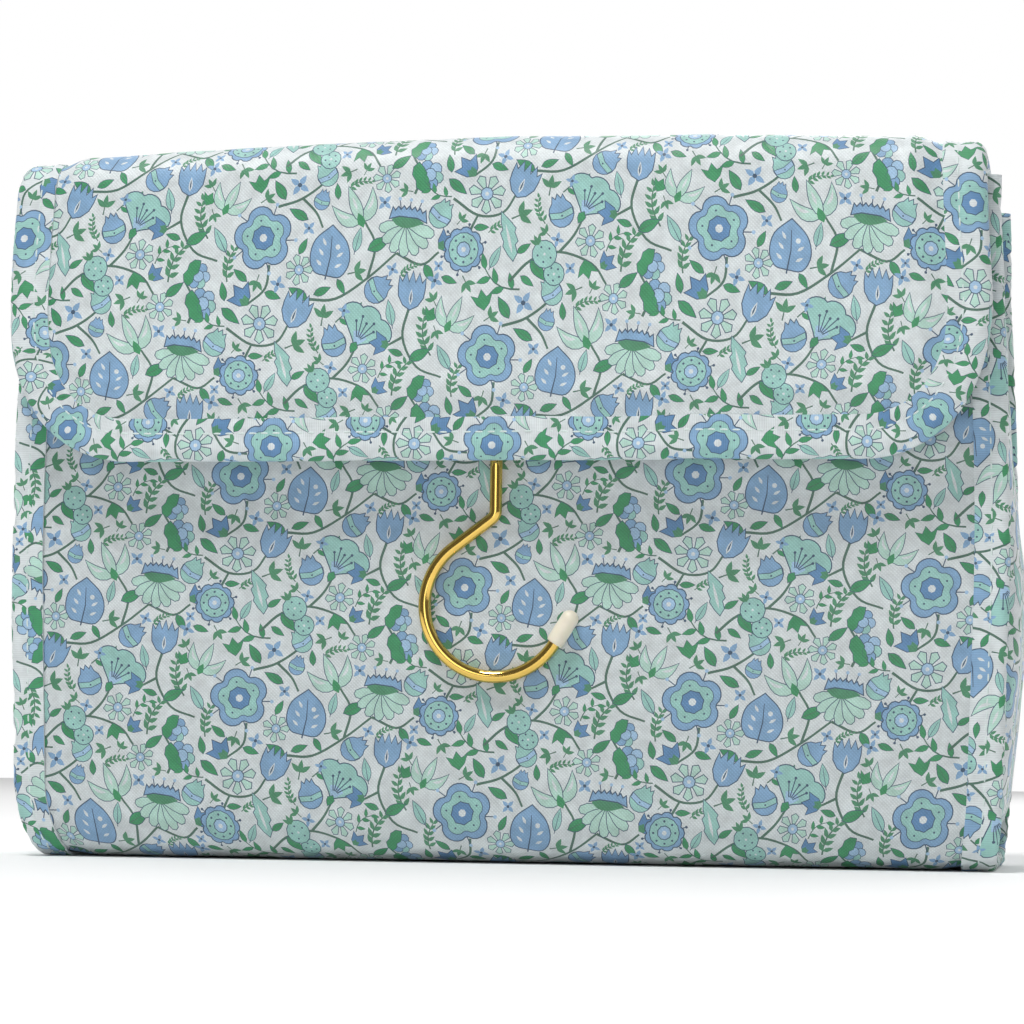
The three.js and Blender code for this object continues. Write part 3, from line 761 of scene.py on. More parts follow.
def plain_cloth(region, step):
    """Triangles over a region with no print."""
    edge = []
    for a, b in zip(region.outline, np.roll(region.outline, -1, 0)):
        count = max(1, int(np.max(np.abs(b - a) / step)))
        edge += [a + (b - a) * i / count for i in range(count)]
    points = np.concatenate([edge, flat_grid(region, step)])
    result = delaunay_2d_cdt([Vector(p) for p in points], [], [list(range(len(edge)))], 1, 1e-6, False)
    faces = np.array([f for f in result[2] if len(f) == 3])
    return np.array([tuple(p) for p in result[0]]), faces, np.zeros(len(faces), int)


def back_of(points, loop, region, step):
    """A coarse sheet with the same edge: extra points, and triangles over loop points and extra ones."""
    extra = flat_grid(region, step)
    flat = np.concatenate([points[loop], extra])
    result = delaunay_2d_cdt([Vector(p) for p in flat], [], [list(range(len(loop)))], 1, 1e-7, True)
    origin = [ids[0] if ids else None for ids in result[3]]
    faces = [[origin[i] for i in face] for face in result[2] if len(face) == 3]
    return extra, np.array([face for face in faces if None not in face])


def facing(points, faces, way):
    """Flat triangles that all run anticlockwise where way is 1, and clockwise where it is -1."""
    a, b, c = (points[faces[:, k]] for k in range(3))
    wrong = np.cross(b - a, c - a) * way < 0
    faces[wrong] = faces[wrong][:, ::-1]
    return faces


def lay(name, region, surface, thickness, printing=None, step=(4.0, 4.0), back_step=(6.0, 6.0)):
    """Makes a closed piece of cloth with a plain back. surface(u, v, depth) gives the place of a point of
    the piece at a depth below its face. The face is printed, or plain where printing is None."""
    if printing is None:
        points, faces, inks = plain_cloth(region, np.array(step))
    else:
        corners = printing.on_cloth(region.outline)
        points, faces, inks = print_over(corners.min(0) - 1, corners.max(0) + 1)
        points = printing.on_piece(points)
        for normal, limit in region.lines():
            points, faces, inks = clipped(points, faces, inks, normal, limit)
    faces = facing(points, faces, 1)
    loop = loop_round(faces)
    extra, back = back_of(points, loop, region, np.array(back_step))
    count = len(points)
    under = np.concatenate([points[loop], extra])
    back = facing(under, back, -1)
    ring_next = np.roll(np.arange(len(loop)), -1)
    loop = np.array(loop)
    rim_a = np.stack([loop, count + np.arange(len(loop)), count + ring_next], 1)
    rim_b = np.stack([loop, count + ring_next, loop[ring_next]], 1)
    flat = np.concatenate([points, under])
    depth = np.concatenate([np.zeros(count), np.full(len(under), thickness)])
    place = surface(flat[:, 0], flat[:, 1], depth)
    all_faces = np.concatenate([faces, back + count, rim_a, rim_b])
    plain = np.full(len(all_faces) - len(faces), INK_NAMES.index("ground"))
    return build_cloth(name, place, all_faces, np.concatenate([inks, plain]), flat)


def mesh_from(name, points, faces):
    """A mesh of triangles, its points in millimetres."""
    mesh = bpy.data.meshes.new(name)
    mesh.vertices.add(len(points))
    mesh.vertices.foreach_set("co", (np.asarray(points) * MM).astype(np.float32).ravel())
    mesh.loops.add(3 * len(faces))
    mesh.loops.foreach_set("vertex_index", np.asarray(faces, np.int32).ravel())
    mesh.polygons.add(len(faces))
    mesh.polygons.foreach_set("loop_start", np.arange(0, 3 * len(faces), 3, dtype=np.int32))
    mesh.update(calc_edges=True)
    return mesh


def link(name, mesh):
    piece = bpy.data.objects.new(name, mesh)
    bpy.context.scene.collection.objects.link(piece)
    return piece


def volume(points, faces):
    """What closed triangles enclose, below nought where they face inwards."""
    a, b, c = (points[faces[:, k]] for k in range(3))
    return float(np.einsum("ij,ij->", a, np.cross(b, c))) / 6


def build_cloth(name, place, faces, inks, flat):
    """A cloth mesh that carries its inks as a colour and its flat places, in millimetres, as a UV map."""
    if volume(place, faces) < 0:
        faces = faces[:, ::-1]
    mesh = mesh_from(name, place, faces)
    colours = np.array([(*linear(INKS[ink]), 1.0) for ink in INK_NAMES], np.float32)
    layer = mesh.color_attributes.new("ink", "FLOAT_COLOR", "CORNER")
    layer.data.foreach_set("color", np.repeat(colours[inks], 3, axis=0).ravel())
    weave = mesh.uv_layers.new(name="weave")
    weave.data.foreach_set("uv", flat[faces.ravel()].astype(np.float32).ravel())
    mesh.shade_smooth()
    mesh.set_sharp_from_angle(angle=radians(50))
    return link(name, mesh)


def linear(colour):
    """A display colour as the linear one that shaders take."""
    return tuple(c / 12.92 if c <= 0.04045 else ((c + 0.055) / 1.055) ** 2.4 for c in colour)


# ---- Sizes, from the frame ----


def box_mm(node):
    """A node's lower and upper corners, in millimetres."""
    low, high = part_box(node)
    return np.array(low) / MM, np.array(high) / MM


FLAP_LOW, FLAP_HIGH = box_mm("flap_binding")
SIDE_LOW, SIDE_HIGH = box_mm("right_side_binding")
FRONT_LOW, FRONT_HIGH = box_mm("front_panel")
TOP_LOW, TOP_HIGH = box_mm("top_binding_left")
STRIP_LOW, STRIP_HIGH = box_mm("front_zip_strip")
TEETH_LOW, TEETH_HIGH = box_mm("front_zip_teeth")
STRAP_LOW, STRAP_HIGH = box_mm("hook_strap")

# The shell: front, base and back panels in one run of cloth, and its side bindings.
SHELL_FRONT = FRONT_LOW[1]
SHELL_BACK = box_mm("back_panel")[1][1]
SHELL_MIDDLE = (SHELL_FRONT + SHELL_BACK) / 2
SHELL_DEEP = SHELL_BACK - SHELL_FRONT
SHELL_BOTTOM = FRONT_LOW[2]
SHELL_RADIUS = FRONT_HIGH[1] - FRONT_LOW[1]
RIM = FRONT_HIGH[2]
FIN_ROOT = SIDE_LOW[0]
HALF_WIDTH = SIDE_HIGH[0]
TAPE_PROUD = SHELL_FRONT - SIDE_LOW[1]
SIDE_FOLD = 2.1  # radius of the side binding's fold
SIDE_LEG = HALF_WIDTH - FIN_ROOT - SIDE_FOLD
SIDE_TAPE = 2 * SIDE_LEG + pi * SIDE_FOLD
SIDE_STITCH = 0.52 * (HALF_WIDTH - FIN_ROOT)  # from the side binding's edge to its stitching
FOOT_TUCK = {"left": 4.5, "right": 1.5}  # how far the corners of the base draw in
SIDE_SWELL = 2.4  # how far the sides bow out
SIDE_SWELL_HEIGHT = 95  # where they bow out most
SIDE_SWELL_REACH = 100  # up and down from there
LOWEST_CLOTH = 0.15  # height of the lowest cloth of the base, within its bindings

WALL_RUN = RIM - SHELL_BOTTOM - SHELL_RADIUS
CORNER_RUN = 0.5 * pi * SHELL_RADIUS
FRONT_END = WALL_RUN + CORNER_RUN
BASE_END = FRONT_END + SHELL_DEEP - 2 * SHELL_RADIUS
BACK_END = BASE_END + FRONT_END

# The cover: the top panel and the flap in one run, from the back's upper edge to the flap's lower one.
BACK_FACE = SIDE_HIGH[1]
FRONT_FACE = FLAP_LOW[1]
TOP_FACE = TOP_HIGH[2]
FLAP_MIDDLE = (FLAP_LOW[0] + FLAP_HIGH[0]) / 2
FLAP_HALF = (FLAP_HIGH[0] - FLAP_LOW[0]) / 2
COVER = FLAP_HIGH[1] - FLAP_LOW[1]
FLAP_TAPE = TOP_HIGH[0] - TOP_LOW[0]
FLAP_RADIUS = 33.0  # of the flap's lower corners
FOLD_RADIUS = 10.0  # of the cover over the back's and the front's upper edge
FOLD_RUN = 0.5 * pi * FOLD_RADIUS
LAP = 3.0  # of the cover down over the back
TOP_END = LAP + FOLD_RUN + BACK_FACE - FRONT_FACE - 2 * FOLD_RADIUS
FLAP_END = TOP_END + FOLD_RUN + TOP_FACE - FOLD_RADIUS - FLAP_LOW[2]
COVER_LEG = FLAP_TAPE - COVER / 2
COVER_TAPE = 2 * COVER_LEG + 0.5 * pi * COVER
CROWN = 5.0  # rise of the top above its ends, at its middle
CROWN_OFFSET = 12  # of its highest place from the flap's middle
COVER_BOW = 2.2  # how far the flap's sides bow out

# The zip strips, inside the rim.
STRIP_HALF = 130.0  # half their length at the zip
STRIP_SPREAD = 18.0  # how much of each end spreads out to its gusset
TAB_REACH = 8.0  # how far each of the zip's tabs runs on to its gusset

# Thicknesses and thread.
CLOTH = 0.8
LINING_CLOTH = 0.6
STITCH_INSET = 7.8  # of the stitching from the flap's edge
STITCH = 3.4  # from one stitch to the next
STITCH_LENGTH = 2.6
THREAD = 0.26  # radius

# The hook, in its own plane. Its eye turns about the middle of the strap.
WIRE = 1.75  # radius
BOWL_RADIUS = 20.0
BOWL_HEIGHT = 72.0  # of the bowl's centre
BOWL_END = radians(328)
BEND_RADIUS = 3.0  # between shank and neck
NECK_SLOPE = atan2(3, 4)
EYE_HEIGHT = 124.0
EYE_RADIUS = 6.0
TIP_GRIP = 6.0  # of the wire inside the tip
TIP_LENGTH = 10.5
TIP_RADIUS = 2.5

# The zip's coils, as distances from the zip's middle.
COIL_PITCH = 1.25
COIL_WIRE = 0.36  # radius
COIL_NEAR = 0.95
COIL_MIDDLE = 2.0
COIL_FAR = 3.05


# ---- Surfaces ----


def smooth(t):
    """0 up to nought and 1 from one on, with an even rise between them."""
    t = np.clip(t, 0.0, 1.0)
    return t * t * (3 - 2 * t)


def hump(x, half):
    """1 at nought, falling smoothly to 0 at half to either side."""
    return smooth(1 - np.abs(x) / half)


def ripple(a, b, length, phase=0.0):
    """Uneven soft waves from -1 to 1, about a length apart, over a surface."""
    k = 2 * pi / length
    total = np.sin(k * (a + 0.31 * b) + phase) + np.sin(k * (0.83 * b - 0.47 * a) + 2.3 * phase + 1.0)
    total = total + np.sin(k * (0.61 * a + 0.71 * b) * 1.27 + 1.7 + phase)
    return total * (0.62 + 0.38 * np.sin(0.37 * k * (a - 1.3 * b) + 0.9 * phase)) / 3


def inset(across, down, half, end, radius):
    """How far in a point is from a tub's outline: sides at -half and half, and an end with round corners."""
    side = np.abs(across) - (half - radius)
    foot = down - (end - radius)
    outside = np.hypot(np.maximum(side, 0), np.maximum(foot, 0))
    return radius - outside - np.minimum(np.maximum(side, foot), 0)


def tub(half, start, end, radius, steps=12):
    """A tub's outline, anticlockwise, from start across its open side to its round-cornered end."""
    outline = [(-half, start), (half, start)]
    for centre, first in ((half - radius, 0.0), (radius - half, 0.5 * pi)):
        for i in range(steps + 1):
            angle = first + 0.5 * pi * i / steps
            outline.append((centre + radius * cos(angle), end - radius + radius * sin(angle)))
    return Region(outline)


def fold_over(t, depth, leg, radius):
    """A tape folded round an edge: how far in from the edge a point is, and how far below its face."""
    turn = np.clip((t - leg) / radius, 0, pi)
    straight = np.maximum(leg - t, 0) + np.maximum(t - leg - pi * radius, 0)
    return radius - (radius - depth) * np.sin(turn) + straight, radius - (radius - depth) * np.cos(turn)


def along_shell(v, out):
    """Place in depth and height at a distance v down from the front's rim, round the base and up the
    back, and out from the shell's plain shape."""
    front, back = (np.clip((v - start) / CORNER_RUN, 0, 1) for start in (WALL_RUN, BASE_END))
    turn = 0.5 * pi * (front + back)
    y = SHELL_FRONT + SHELL_RADIUS + np.clip(v - FRONT_END, 0, BASE_END - FRONT_END)
    z = RIM - np.minimum(v, WALL_RUN) + np.maximum(v - BASE_END - CORNER_RUN, 0)
    reach = SHELL_RADIUS + out
    return y - reach * np.cos(turn), z - reach * np.sin(turn)


def foot_tuck(side, v):
    """How far a side draws in at a distance v along the shell. side is -1 for the left."""
    size = FOOT_TUCK["left" if side < 0 else "right"]
    front = smooth((v - WALL_RUN + 8) / (CORNER_RUN + 6))
    return size * front * smooth((BACK_END - WALL_RUN + 8 - v) / (CORNER_RUN + 6))


def side_swell(height):
    """How far the bag's sides bow out at a height."""
    return SIDE_SWELL * hump(height - SIDE_SWELL_HEIGHT, SIDE_SWELL_REACH)


def near_corner(v):
    """1 at the rounding under the front and at the one under the back, and 0 away from them."""
    return hump(v - WALL_RUN - 0.4 * CORNER_RUN, 30) + hump(v - BASE_END - 0.6 * CORNER_RUN, 30)


def shell_surface(x, v, depth):
    """The shell's printed cloth: full between its fins, puckered beside them and flat on the base."""
    inner = smooth((FIN_ROOT - np.abs(x)) / 9)
    out = 0.75 * inner + 0.3 * hump(np.abs(x) - FIN_ROOT + 9, 8)
    out = out + inner * (0.28 * ripple(x, v, 46) + 0.12 * ripple(x, v, 17, 2.0))
    pucker = hump(np.abs(x) - FIN_ROOT, 26)
    out = out + pucker * (0.3 * ripple(0.35 * x, v, 9, 0.7) + 0.55 * near_corner(v) * ripple(x, v, 7.5, 1.9))
    on_base = smooth((v - WALL_RUN) / CORNER_RUN) * smooth((BASE_END + CORNER_RUN - v) / CORNER_RUN)
    out = np.where(on_base > 0.9, np.minimum(out, 0.8), out)
    y, z = along_shell(v, out - depth)
    tuck = np.where(x < 0, foot_tuck(-1, v), foot_tuck(1, v)) - side_swell(z)
    return np.stack([x - np.sign(x) * tuck * smooth(np.abs(x) / FIN_ROOT), y, np.maximum(z, LOWEST_CLOTH)], 1)


def side_tape_surface(side):
    """A side binding: v runs along the shell and t across the tape, round the fin's edge."""

    def surface(v, t, depth):
        q, below = fold_over(t, depth, SIDE_LEG, SIDE_FOLD)
        crinkle = near_corner(v) * (0.45 * ripple(1.4 * v, 2 * t, 6.5, 0.4 + side))
        edge = smooth(1 - q / 5) * (0.35 * ripple(v, 0.0, 31, 1.0 + side) + 0.9 * crinkle)
        stitched = 0.3 * np.exp(-((q - SIDE_STITCH) / 1.1) ** 2)
        front = below < SIDE_FOLD
        out = TAPE_PROUD - below + np.where(front, 0.22 * ripple(v, t, 23, 3.0) + crinkle - stitched, 0.0)
        y, z = along_shell(v, out)
        reach = HALF_WIDTH - q - foot_tuck(side, v) + side_swell(z) + edge
        return np.stack([side * reach, y, np.maximum(z, 0.0)], 1)

    return surface


def gusset_x(across, down, side):
    """How far out the gusset's cloth stands from the bag's middle."""
    d = inset(across, down, SHELL_DEEP / 2, RIM - SHELL_BOTTOM, SHELL_RADIUS)
    rise = 1 - (1 - np.clip((d - 2) / 17, 0, 1)) ** 2.4
    height = RIM - down
    full = 8.0 * (1 - 0.4 * smooth((height - 150) / 40)) + (4.2 if side > 0 else 2.6) * hump(height - 62, 75)
    soft = 0.8 * ripple(across, down, 58, 1.3 * side) + 0.3 * ripple(across, down, 19, 2.0)
    tuck = foot_tuck(side, WALL_RUN + CORNER_RUN - height) * smooth(1 - height / 30)
    return FIN_ROOT + 0.4 + rise * (full + soft) - tuck + side_swell(height)


def gusset_surface(side):
    def surface(across, down, depth):
        x = gusset_x(across, down, side) - depth
        return np.stack([side * x, SHELL_MIDDLE + across, RIM - down], 1)

    return surface


def crown(x, weight):
    """How far the cover's top rises above its ends."""
    across = (x - FLAP_MIDDLE - CROWN_OFFSET) / (FLAP_HALF + 14)
    return CROWN * weight * (1 - across**2)


def along_cover(s, depth):
    """Place in depth and height at a distance s along the cover from the back, and below its face."""
    back, front = (np.clip((s - start) / FOLD_RUN, 0, 1) for start in (LAP, TOP_END))
    turn = 0.5 * pi * (back + front)
    y = BACK_FACE - FOLD_RADIUS - np.clip(s - LAP - FOLD_RUN, 0, TOP_END - LAP - FOLD_RUN)
    z = TOP_FACE - FOLD_RADIUS + np.minimum(s, LAP) - LAP - np.maximum(s - TOP_END - FOLD_RUN, 0)
    reach = FOLD_RADIUS - depth
    return y + reach * np.cos(turn), z + reach * np.sin(turn)


def cover_place(x, s, depth):
    """A place on the cover: x across it, s along it from the back, and a depth below its face."""
    y, z = along_cover(s, depth)
    bow = COVER_BOW * smooth((s - TOP_END) / 60) * smooth((FLAP_END - 20 - s) / 25)
    x = x + bow * np.sign(x) * smooth(np.abs(x) / FLAP_HALF)
    lift = smooth((s - LAP) / 30) * smooth((FLAP_END - 25 - s) / 50)
    return np.stack([x, y, z + crown(x, lift)], 1)


def cover_surface(x, s, depth):
    """The cover's printed cloth: it dips at the binding and is full between."""
    q = inset(x - FLAP_MIDDLE, s, FLAP_HALF, FLAP_END, FLAP_RADIUS)
    inner = smooth((q - FLAP_TAPE + 1) / 9)
    swell = 0.95 - 1.75 * inner - 0.35 * hump(q - FLAP_TAPE - 7, 7)
    soft = 0.3 * ripple(x, s, 52, 0.5) + 0.13 * ripple(x, s, 19, 1.1)
    pucker = 0.22 * hump(q - FLAP_TAPE, 10) * ripple(x, s, 8.5, 2.2)
    return cover_place(x, s, depth + swell + inner * soft + pucker)


def lining_surface(x, s, depth):
    """The cover's inner cloth."""
    q = inset(x - FLAP_MIDDLE, s, FLAP_HALF, FLAP_END, FLAP_RADIUS)
    below = COVER - 1.6 + 0.9 * smooth((q - FLAP_TAPE + 1) / 6) + 0.15 * ripple(x, s, 21, 0.2)
    return cover_place(x, s, below - depth)


def foam_surface(x, s, depth):
    """The cover's padding, under its printed cloth."""
    return cover_place(x, s, 2.1 + depth)


def flap_edge(p, q):
    """Flat place on the cover at a distance p round the flap's edge from its left fold, and q in."""
    side = FLAP_END - FLAP_RADIUS - TOP_END
    arc = 0.5 * pi * FLAP_RADIUS
    across = 2 * (FLAP_HALF - FLAP_RADIUS)
    turn = 0.5 * pi * (np.clip((p - side) / arc, 0, 1) + np.clip((p - side - arc - across) / arc, 0, 1))
    x = FLAP_MIDDLE - FLAP_HALF + FLAP_RADIUS + np.clip(p - side - arc, 0, across)
    s = TOP_END + np.minimum(p, side) - np.maximum(p - side - 2 * arc - across, 0)
    return x - (FLAP_RADIUS - q) * np.cos(turn), s + (FLAP_RADIUS - q) * np.sin(turn)


FLAP_EDGE = 2 * (FLAP_END - FLAP_RADIUS - TOP_END) + pi * FLAP_RADIUS + 2 * (FLAP_HALF - FLAP_RADIUS)


def cover_tape(p, t, depth, edge):
    """The cover's binding: edge(p, q) is the flat place a distance q in from the edge."""
    q, below = fold_over(t, depth, COVER_LEG, COVER / 2)
    outer = below < COVER / 2
    stitched = 0.5 * np.exp(-((q - STITCH_INSET) / 1.4) ** 2) + 0.25 * smooth((q - FLAP_TAPE + 2) / 2)
    soft = 0.22 * ripple(p, 1.5 * t, 27, 0.8) + 0.1 * ripple(p, 0.5 * t, 7, 1.7)
    x, s = edge(p, np.maximum(q + 0.35 * ripple(p, 0.0, 44, 0.3), 0.0))
    return cover_place(x, s, below + np.where(outer, stitched + soft, -0.5 * stitched))


def flap_tape_surface(p, t, depth):
    return cover_tape(p, t, depth, flap_edge)


def top_tape_surface(side):
    """The binding at a side of the top panel. side is -1 for the left."""

    def edge(p, q):
        return FLAP_MIDDLE + side * (FLAP_HALF - q), p

    def surface(p, t, depth):
        return cover_tape(p, t, depth, edge)

    return surface


def strip_surface(side):
    """A zip strip: turned over the rim, down the wall and in to the zip. side is -1 for the front."""
    wall = SHELL_MIDDLE - STRIP_LOW[1] - 0.8
    rim = SHELL_DEEP / 2
    level = STRIP_LOW[2] + 1.0
    turns = [(rim - 1.0, RIM - 1.2), (rim - 2.4, RIM + 0.2), (wall, RIM - 1.4), (wall, level + 8)]
    turns += [(wall - 1.0, level + 2.2), (wall - 4.0, level), (wall - 14.0, level)]
    turns.append((SHELL_MIDDLE - STRIP_HIGH[1], level))
    line = np.array(curve(turns, 6))
    run = np.concatenate([[0], np.cumsum(np.linalg.norm(np.diff(line, axis=0), axis=1))])
    ahead = np.gradient(line, run, axis=0)
    ahead /= np.linalg.norm(ahead, axis=1)[:, None]

    def surface(u, v, depth):
        y, z = (np.interp(v, run, line[:, k]) for k in (0, 1))
        dy, dz = (np.interp(v, run, ahead[:, k]) for k in (0, 1))
        y, z = y - dz * depth, z + dy * depth
        z = z + 0.25 * ripple(u, v, 24, side) * smooth((v - 25) / 8)
        reach = gusset_x(side * y, RIM - np.minimum(z, RIM), 1) - 1.6
        near_end = smooth((np.abs(u) - (STRIP_HALF - STRIP_SPREAD)) / STRIP_SPREAD)
        spread = near_end * smooth((v - 4) / 5) * np.maximum(reach - STRIP_HALF, 0)
        return np.stack([u + np.sign(u) * spread, SHELL_MIDDLE + side * y, z], 1)

    return surface, run[-1]


# ---- Cloth pieces ----


def finish_piece(piece, material, bodies, slot, replaced):
    """Gives a piece its material, and hides the nodes that it stands for. Where bodies is one name the piece
    rides on that body; where it is a pair of bodies and a fold, the piece is left where it is. slot is not
    used.
    """
    dress(piece, material)
    if isinstance(bodies, str):
        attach(piece, bodies)
    else:
        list(bodies)
        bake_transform(piece)
    if replaced:
        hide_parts(*replaced)


def fold_line(y, z, toward):
    """Where a fold starts and ends, as two places in metres about an upper edge of the cover."""
    low = Vector((0, y, z - 1.2 * FOLD_RADIUS)) * MM
    high = Vector((0, y + toward * 1.2 * FOLD_RADIUS, z)) * MM
    return low, high


def bodies_of_top():
    """The two bodies on either side of the top panel's fold, and where the fold starts and ends."""
    low, high = fold_line(BACK_FACE, TOP_FACE, -1)
    return ("bag", "top_cover", low, high)


def bodies_of_flap():
    """The two bodies on either side of the flap's fold, and the two ends of the fold."""
    low, high = fold_line(FRONT_FACE, TOP_FACE, 1)
    return ("top_cover", "flap", high, low)


def make_shell():
    """Front, base and back, whose print runs on from one to the next."""
    half = FIN_ROOT + 3.5
    cut = Print(1, -1, (150.0, 222.0))
    ends = (0.0, FRONT_END, BASE_END, BACK_END)
    for name, start, end in zip(("front", "base", "back"), ends, ends[1:]):
        piece = lay(f"{name}_cloth", rectangle((-half, half), (start, end)), shell_surface, CLOTH, cut)
        # The shell's cloth is the canvas drawn darker: painted shade.
        finish_piece(piece, SHADED_SHELL_CANVAS_MATERIAL, "bag", "printed_canvas", [f"{name}_panel"])


def make_side_bindings():
    for name, side in (("right", 1), ("left", -1)):
        region = rectangle((0, BACK_END), (0, SIDE_TAPE))
        cut = Print(1, 1, (12.0 + 20 * side, 30.0), True)
        piece = lay(f"{name}_side_tape", region, side_tape_surface(side), CLOTH, cut)
        finish_piece(piece, TAPE_MATERIAL, "bag", "binding_tape", [f"{name}_side_binding"])


def make_gussets():
    """The gussets' cloth, which ends a rim inside the shell's."""
    rim = 2.2
    for name, side in (("right", 1), ("left", -1)):
        region = tub(SHELL_DEEP / 2 - rim, 0, RIM - SHELL_BOTTOM - rim, SHELL_RADIUS - rim)
        cut = Print(side, -1, (40.0, 250.0))
        piece = lay(f"{name}_gusset_cloth", region, gusset_surface(side), CLOTH, cut)
        finish_piece(piece, CANVAS_MATERIAL, "bag", "printed_canvas", [f"{name}_gusset"])


def cover_tub(rim, start=TOP_END):
    """The flap's outline, set in by rim, in places along the cover."""
    region = tub(FLAP_HALF - rim, start, FLAP_END - rim, FLAP_RADIUS - rim)
    return Region(region.outline + (FLAP_MIDDLE, 0))


def cover_strip(rim):
    """The top panel's outline, set in at its sides by rim."""
    half = FLAP_HALF - rim
    return rectangle((FLAP_MIDDLE - half, FLAP_MIDDLE + half), (0, TOP_END))


def make_cover():
    """The three layers of top and flap. A layer is its pieces' ending, the node's ending, its surface,
    thickness, distance in from the edge and print, and its material and slot."""
    cut = Print(1, -1, (142.0, 254.0))
    layers = (
        ("cloth", "panel", cover_surface, CLOTH, 9.5, cut, CANVAS_MATERIAL, "printed_canvas"),
        ("padding", "foam", foam_surface, 2.6, 5.0, None, FOAM_MATERIAL, "foam"),
        ("inside", "lining", lining_surface, LINING_CLOTH, 8.0, None, LINING_MATERIAL, "lining_cloth"),
    )
    for ending, node, surface, thick, rim, printing, material, slot in layers:
        for name, region, bodies in (
            ("top", cover_strip(rim), bodies_of_top()),
            ("flap", cover_tub(rim), bodies_of_flap()),
        ):
            piece = lay(f"{name}_{ending}", region, surface, thick, printing)
            finish_piece(piece, material, bodies, slot, [f"{name}_{node}"])


def make_cover_bindings():
    region = rectangle((0, FLAP_EDGE), (0, COVER_TAPE))
    piece = lay("flap_tape", region, flap_tape_surface, CLOTH, Print(1, 1, (5.0, 17.0), True))
    finish_piece(piece, TAPE_MATERIAL, bodies_of_flap(), "binding_tape", ["flap_binding"])
    for name, side in (("left", -1), ("right", 1)):
        region = rectangle((0, TOP_END), (0, COVER_TAPE))
        cut = Print(1, 1, (5.0, 40.0), True)
        piece = lay(f"top_tape_{name}", region, top_tape_surface(side), CLOTH, cut)
        finish_piece(piece, TAPE_MATERIAL, bodies_of_top(), "binding_tape", [f"top_binding_{name}"])


def make_zip_strips():
    for name, side in (("front", -1), ("back", 1)):
        surface, run = strip_surface(side)
        region = rectangle((-STRIP_HALF, STRIP_HALF), (0, run))
        piece = lay(f"{name}_strip_cloth", region, surface, CLOTH, Print(1, 1, (20.0, 9.0)))
        finish_piece(piece, CANVAS_MATERIAL, "bag", "printed_canvas", [f"{name}_zip_strip"])


def make_lining():
    """The main compartment's lining: one run down the front, under and up the back, and two ends."""
    low, high = box_mm("lining")
    room = low[1] - SHELL_FRONT
    half = high[0]
    top = RIM - high[2]

    def wrap(x, v, depth):
        y, z = along_shell(v, -room - depth - 0.2 - 0.2 * ripple(x, v, 37, 0.9))
        return np.stack([x, y, z], 1)

    def end(side):
        def surface(across, down, depth):
            x = half - 0.9 - depth + 0.2 * ripple(across, down, 31, side)
            return np.stack([side * x, SHELL_MIDDLE + across, RIM - down], 1)

        return surface

    piece = lay("lining_run", rectangle((-half, half), (top, BACK_END - top)), wrap, LINING_CLOTH)
    finish_piece(piece, LINING_MATERIAL, "bag", "lining_cloth", ["lining"])
    inner = room + 1.2
    outline = tub(SHELL_DEEP / 2 - inner, top, RIM - SHELL_BOTTOM - inner, SHELL_RADIUS - inner)
    for name, side in (("left", -1), ("right", 1)):
        piece = lay(f"lining_end_{name}", outline, end(side), LINING_CLOTH)
        finish_piece(piece, LINING_MATERIAL, "bag", "lining_cloth", ["lining"])


def make_pocket():
    """The slip pocket on the back wall, which gapes a little at its hem."""
    for name, node, thick, material, slot, cut in (
        ("pocket_cloth", "inner_pocket", LINING_CLOTH, LINING_MATERIAL, "lining_cloth", None),
        ("pocket_tape", "pocket_hem", 0.9, TAPE_MATERIAL, "binding_tape", Print(1, 1, (30.0, 5.0))),
    ):
        low, high = box_mm(node)

        def surface(x, z, depth, face=low[1]):
            gape = 1.6 * smooth((z - 60) / 60) * hump(x, 125)
            soft = 0.25 * smooth((z - 40) / 30) * ripple(x, z, 33, 1.2)
            return np.stack([x, face + depth - gape - soft, z], 1)

        piece = lay(name, rectangle((low[0], high[0]), (low[2], high[2])), surface, thick, cut)
        finish_piece(piece, material, "bag", slot, [node])


def make_zip_tapes():
    """The woven tapes under the strips, and the cloth tab that covers each end of the zip."""
    for name, side in (("front", -1), ("back", 1)):
        low, high = box_mm(f"{name}_zip_tape")
        near, far = sorted(abs(v - SHELL_MIDDLE) for v in (low[1], high[1]))

        def surface(x, across, depth, side=side, level=high[2]):
            z = level - depth + 0.1 * ripple(x, across, 17, side) * smooth((across - 3) / 3)
            return np.stack([x, SHELL_MIDDLE + side * across, z], 1)

        region = rectangle((low[0], high[0]), (near, far))
        piece = lay(f"{name}_zip_weave", region, surface, 0.5, None, (3.0, 2.0))
        finish_piece(piece, ZIP_TAPE_MATERIAL, "bag", "zip_tape", [f"{name}_zip_tape"])
    for name in ("left", "right"):
        low, high = box_mm(f"zip_tab_{name}")
        middle, half = (low + high) / 2, (high - low) / 2

        def surface(x, y, depth, middle=middle, half=half, face=high[2]):
            edge = np.minimum(half[0] - np.abs(x - middle[0]), half[1] - np.abs(y - middle[1]))
            return np.stack([x, y, face - depth + 0.6 * smooth(edge / 3) - 0.1], 1)

        ends = (low[0] - TAB_REACH, high[0]) if middle[0] < 0 else (low[0], high[0] + TAB_REACH)
        region = rectangle(ends, (low[1], high[1]))
        cut = Print(1, 1, (9.0, 31.0))
        piece = lay(f"zip_tab_cloth_{name}", region, surface, 0.7, cut, back_step=(2.0, 2.0))
        finish_piece(piece, TAPE_MATERIAL, "bag", "binding_tape", [f"zip_tab_{name}"])


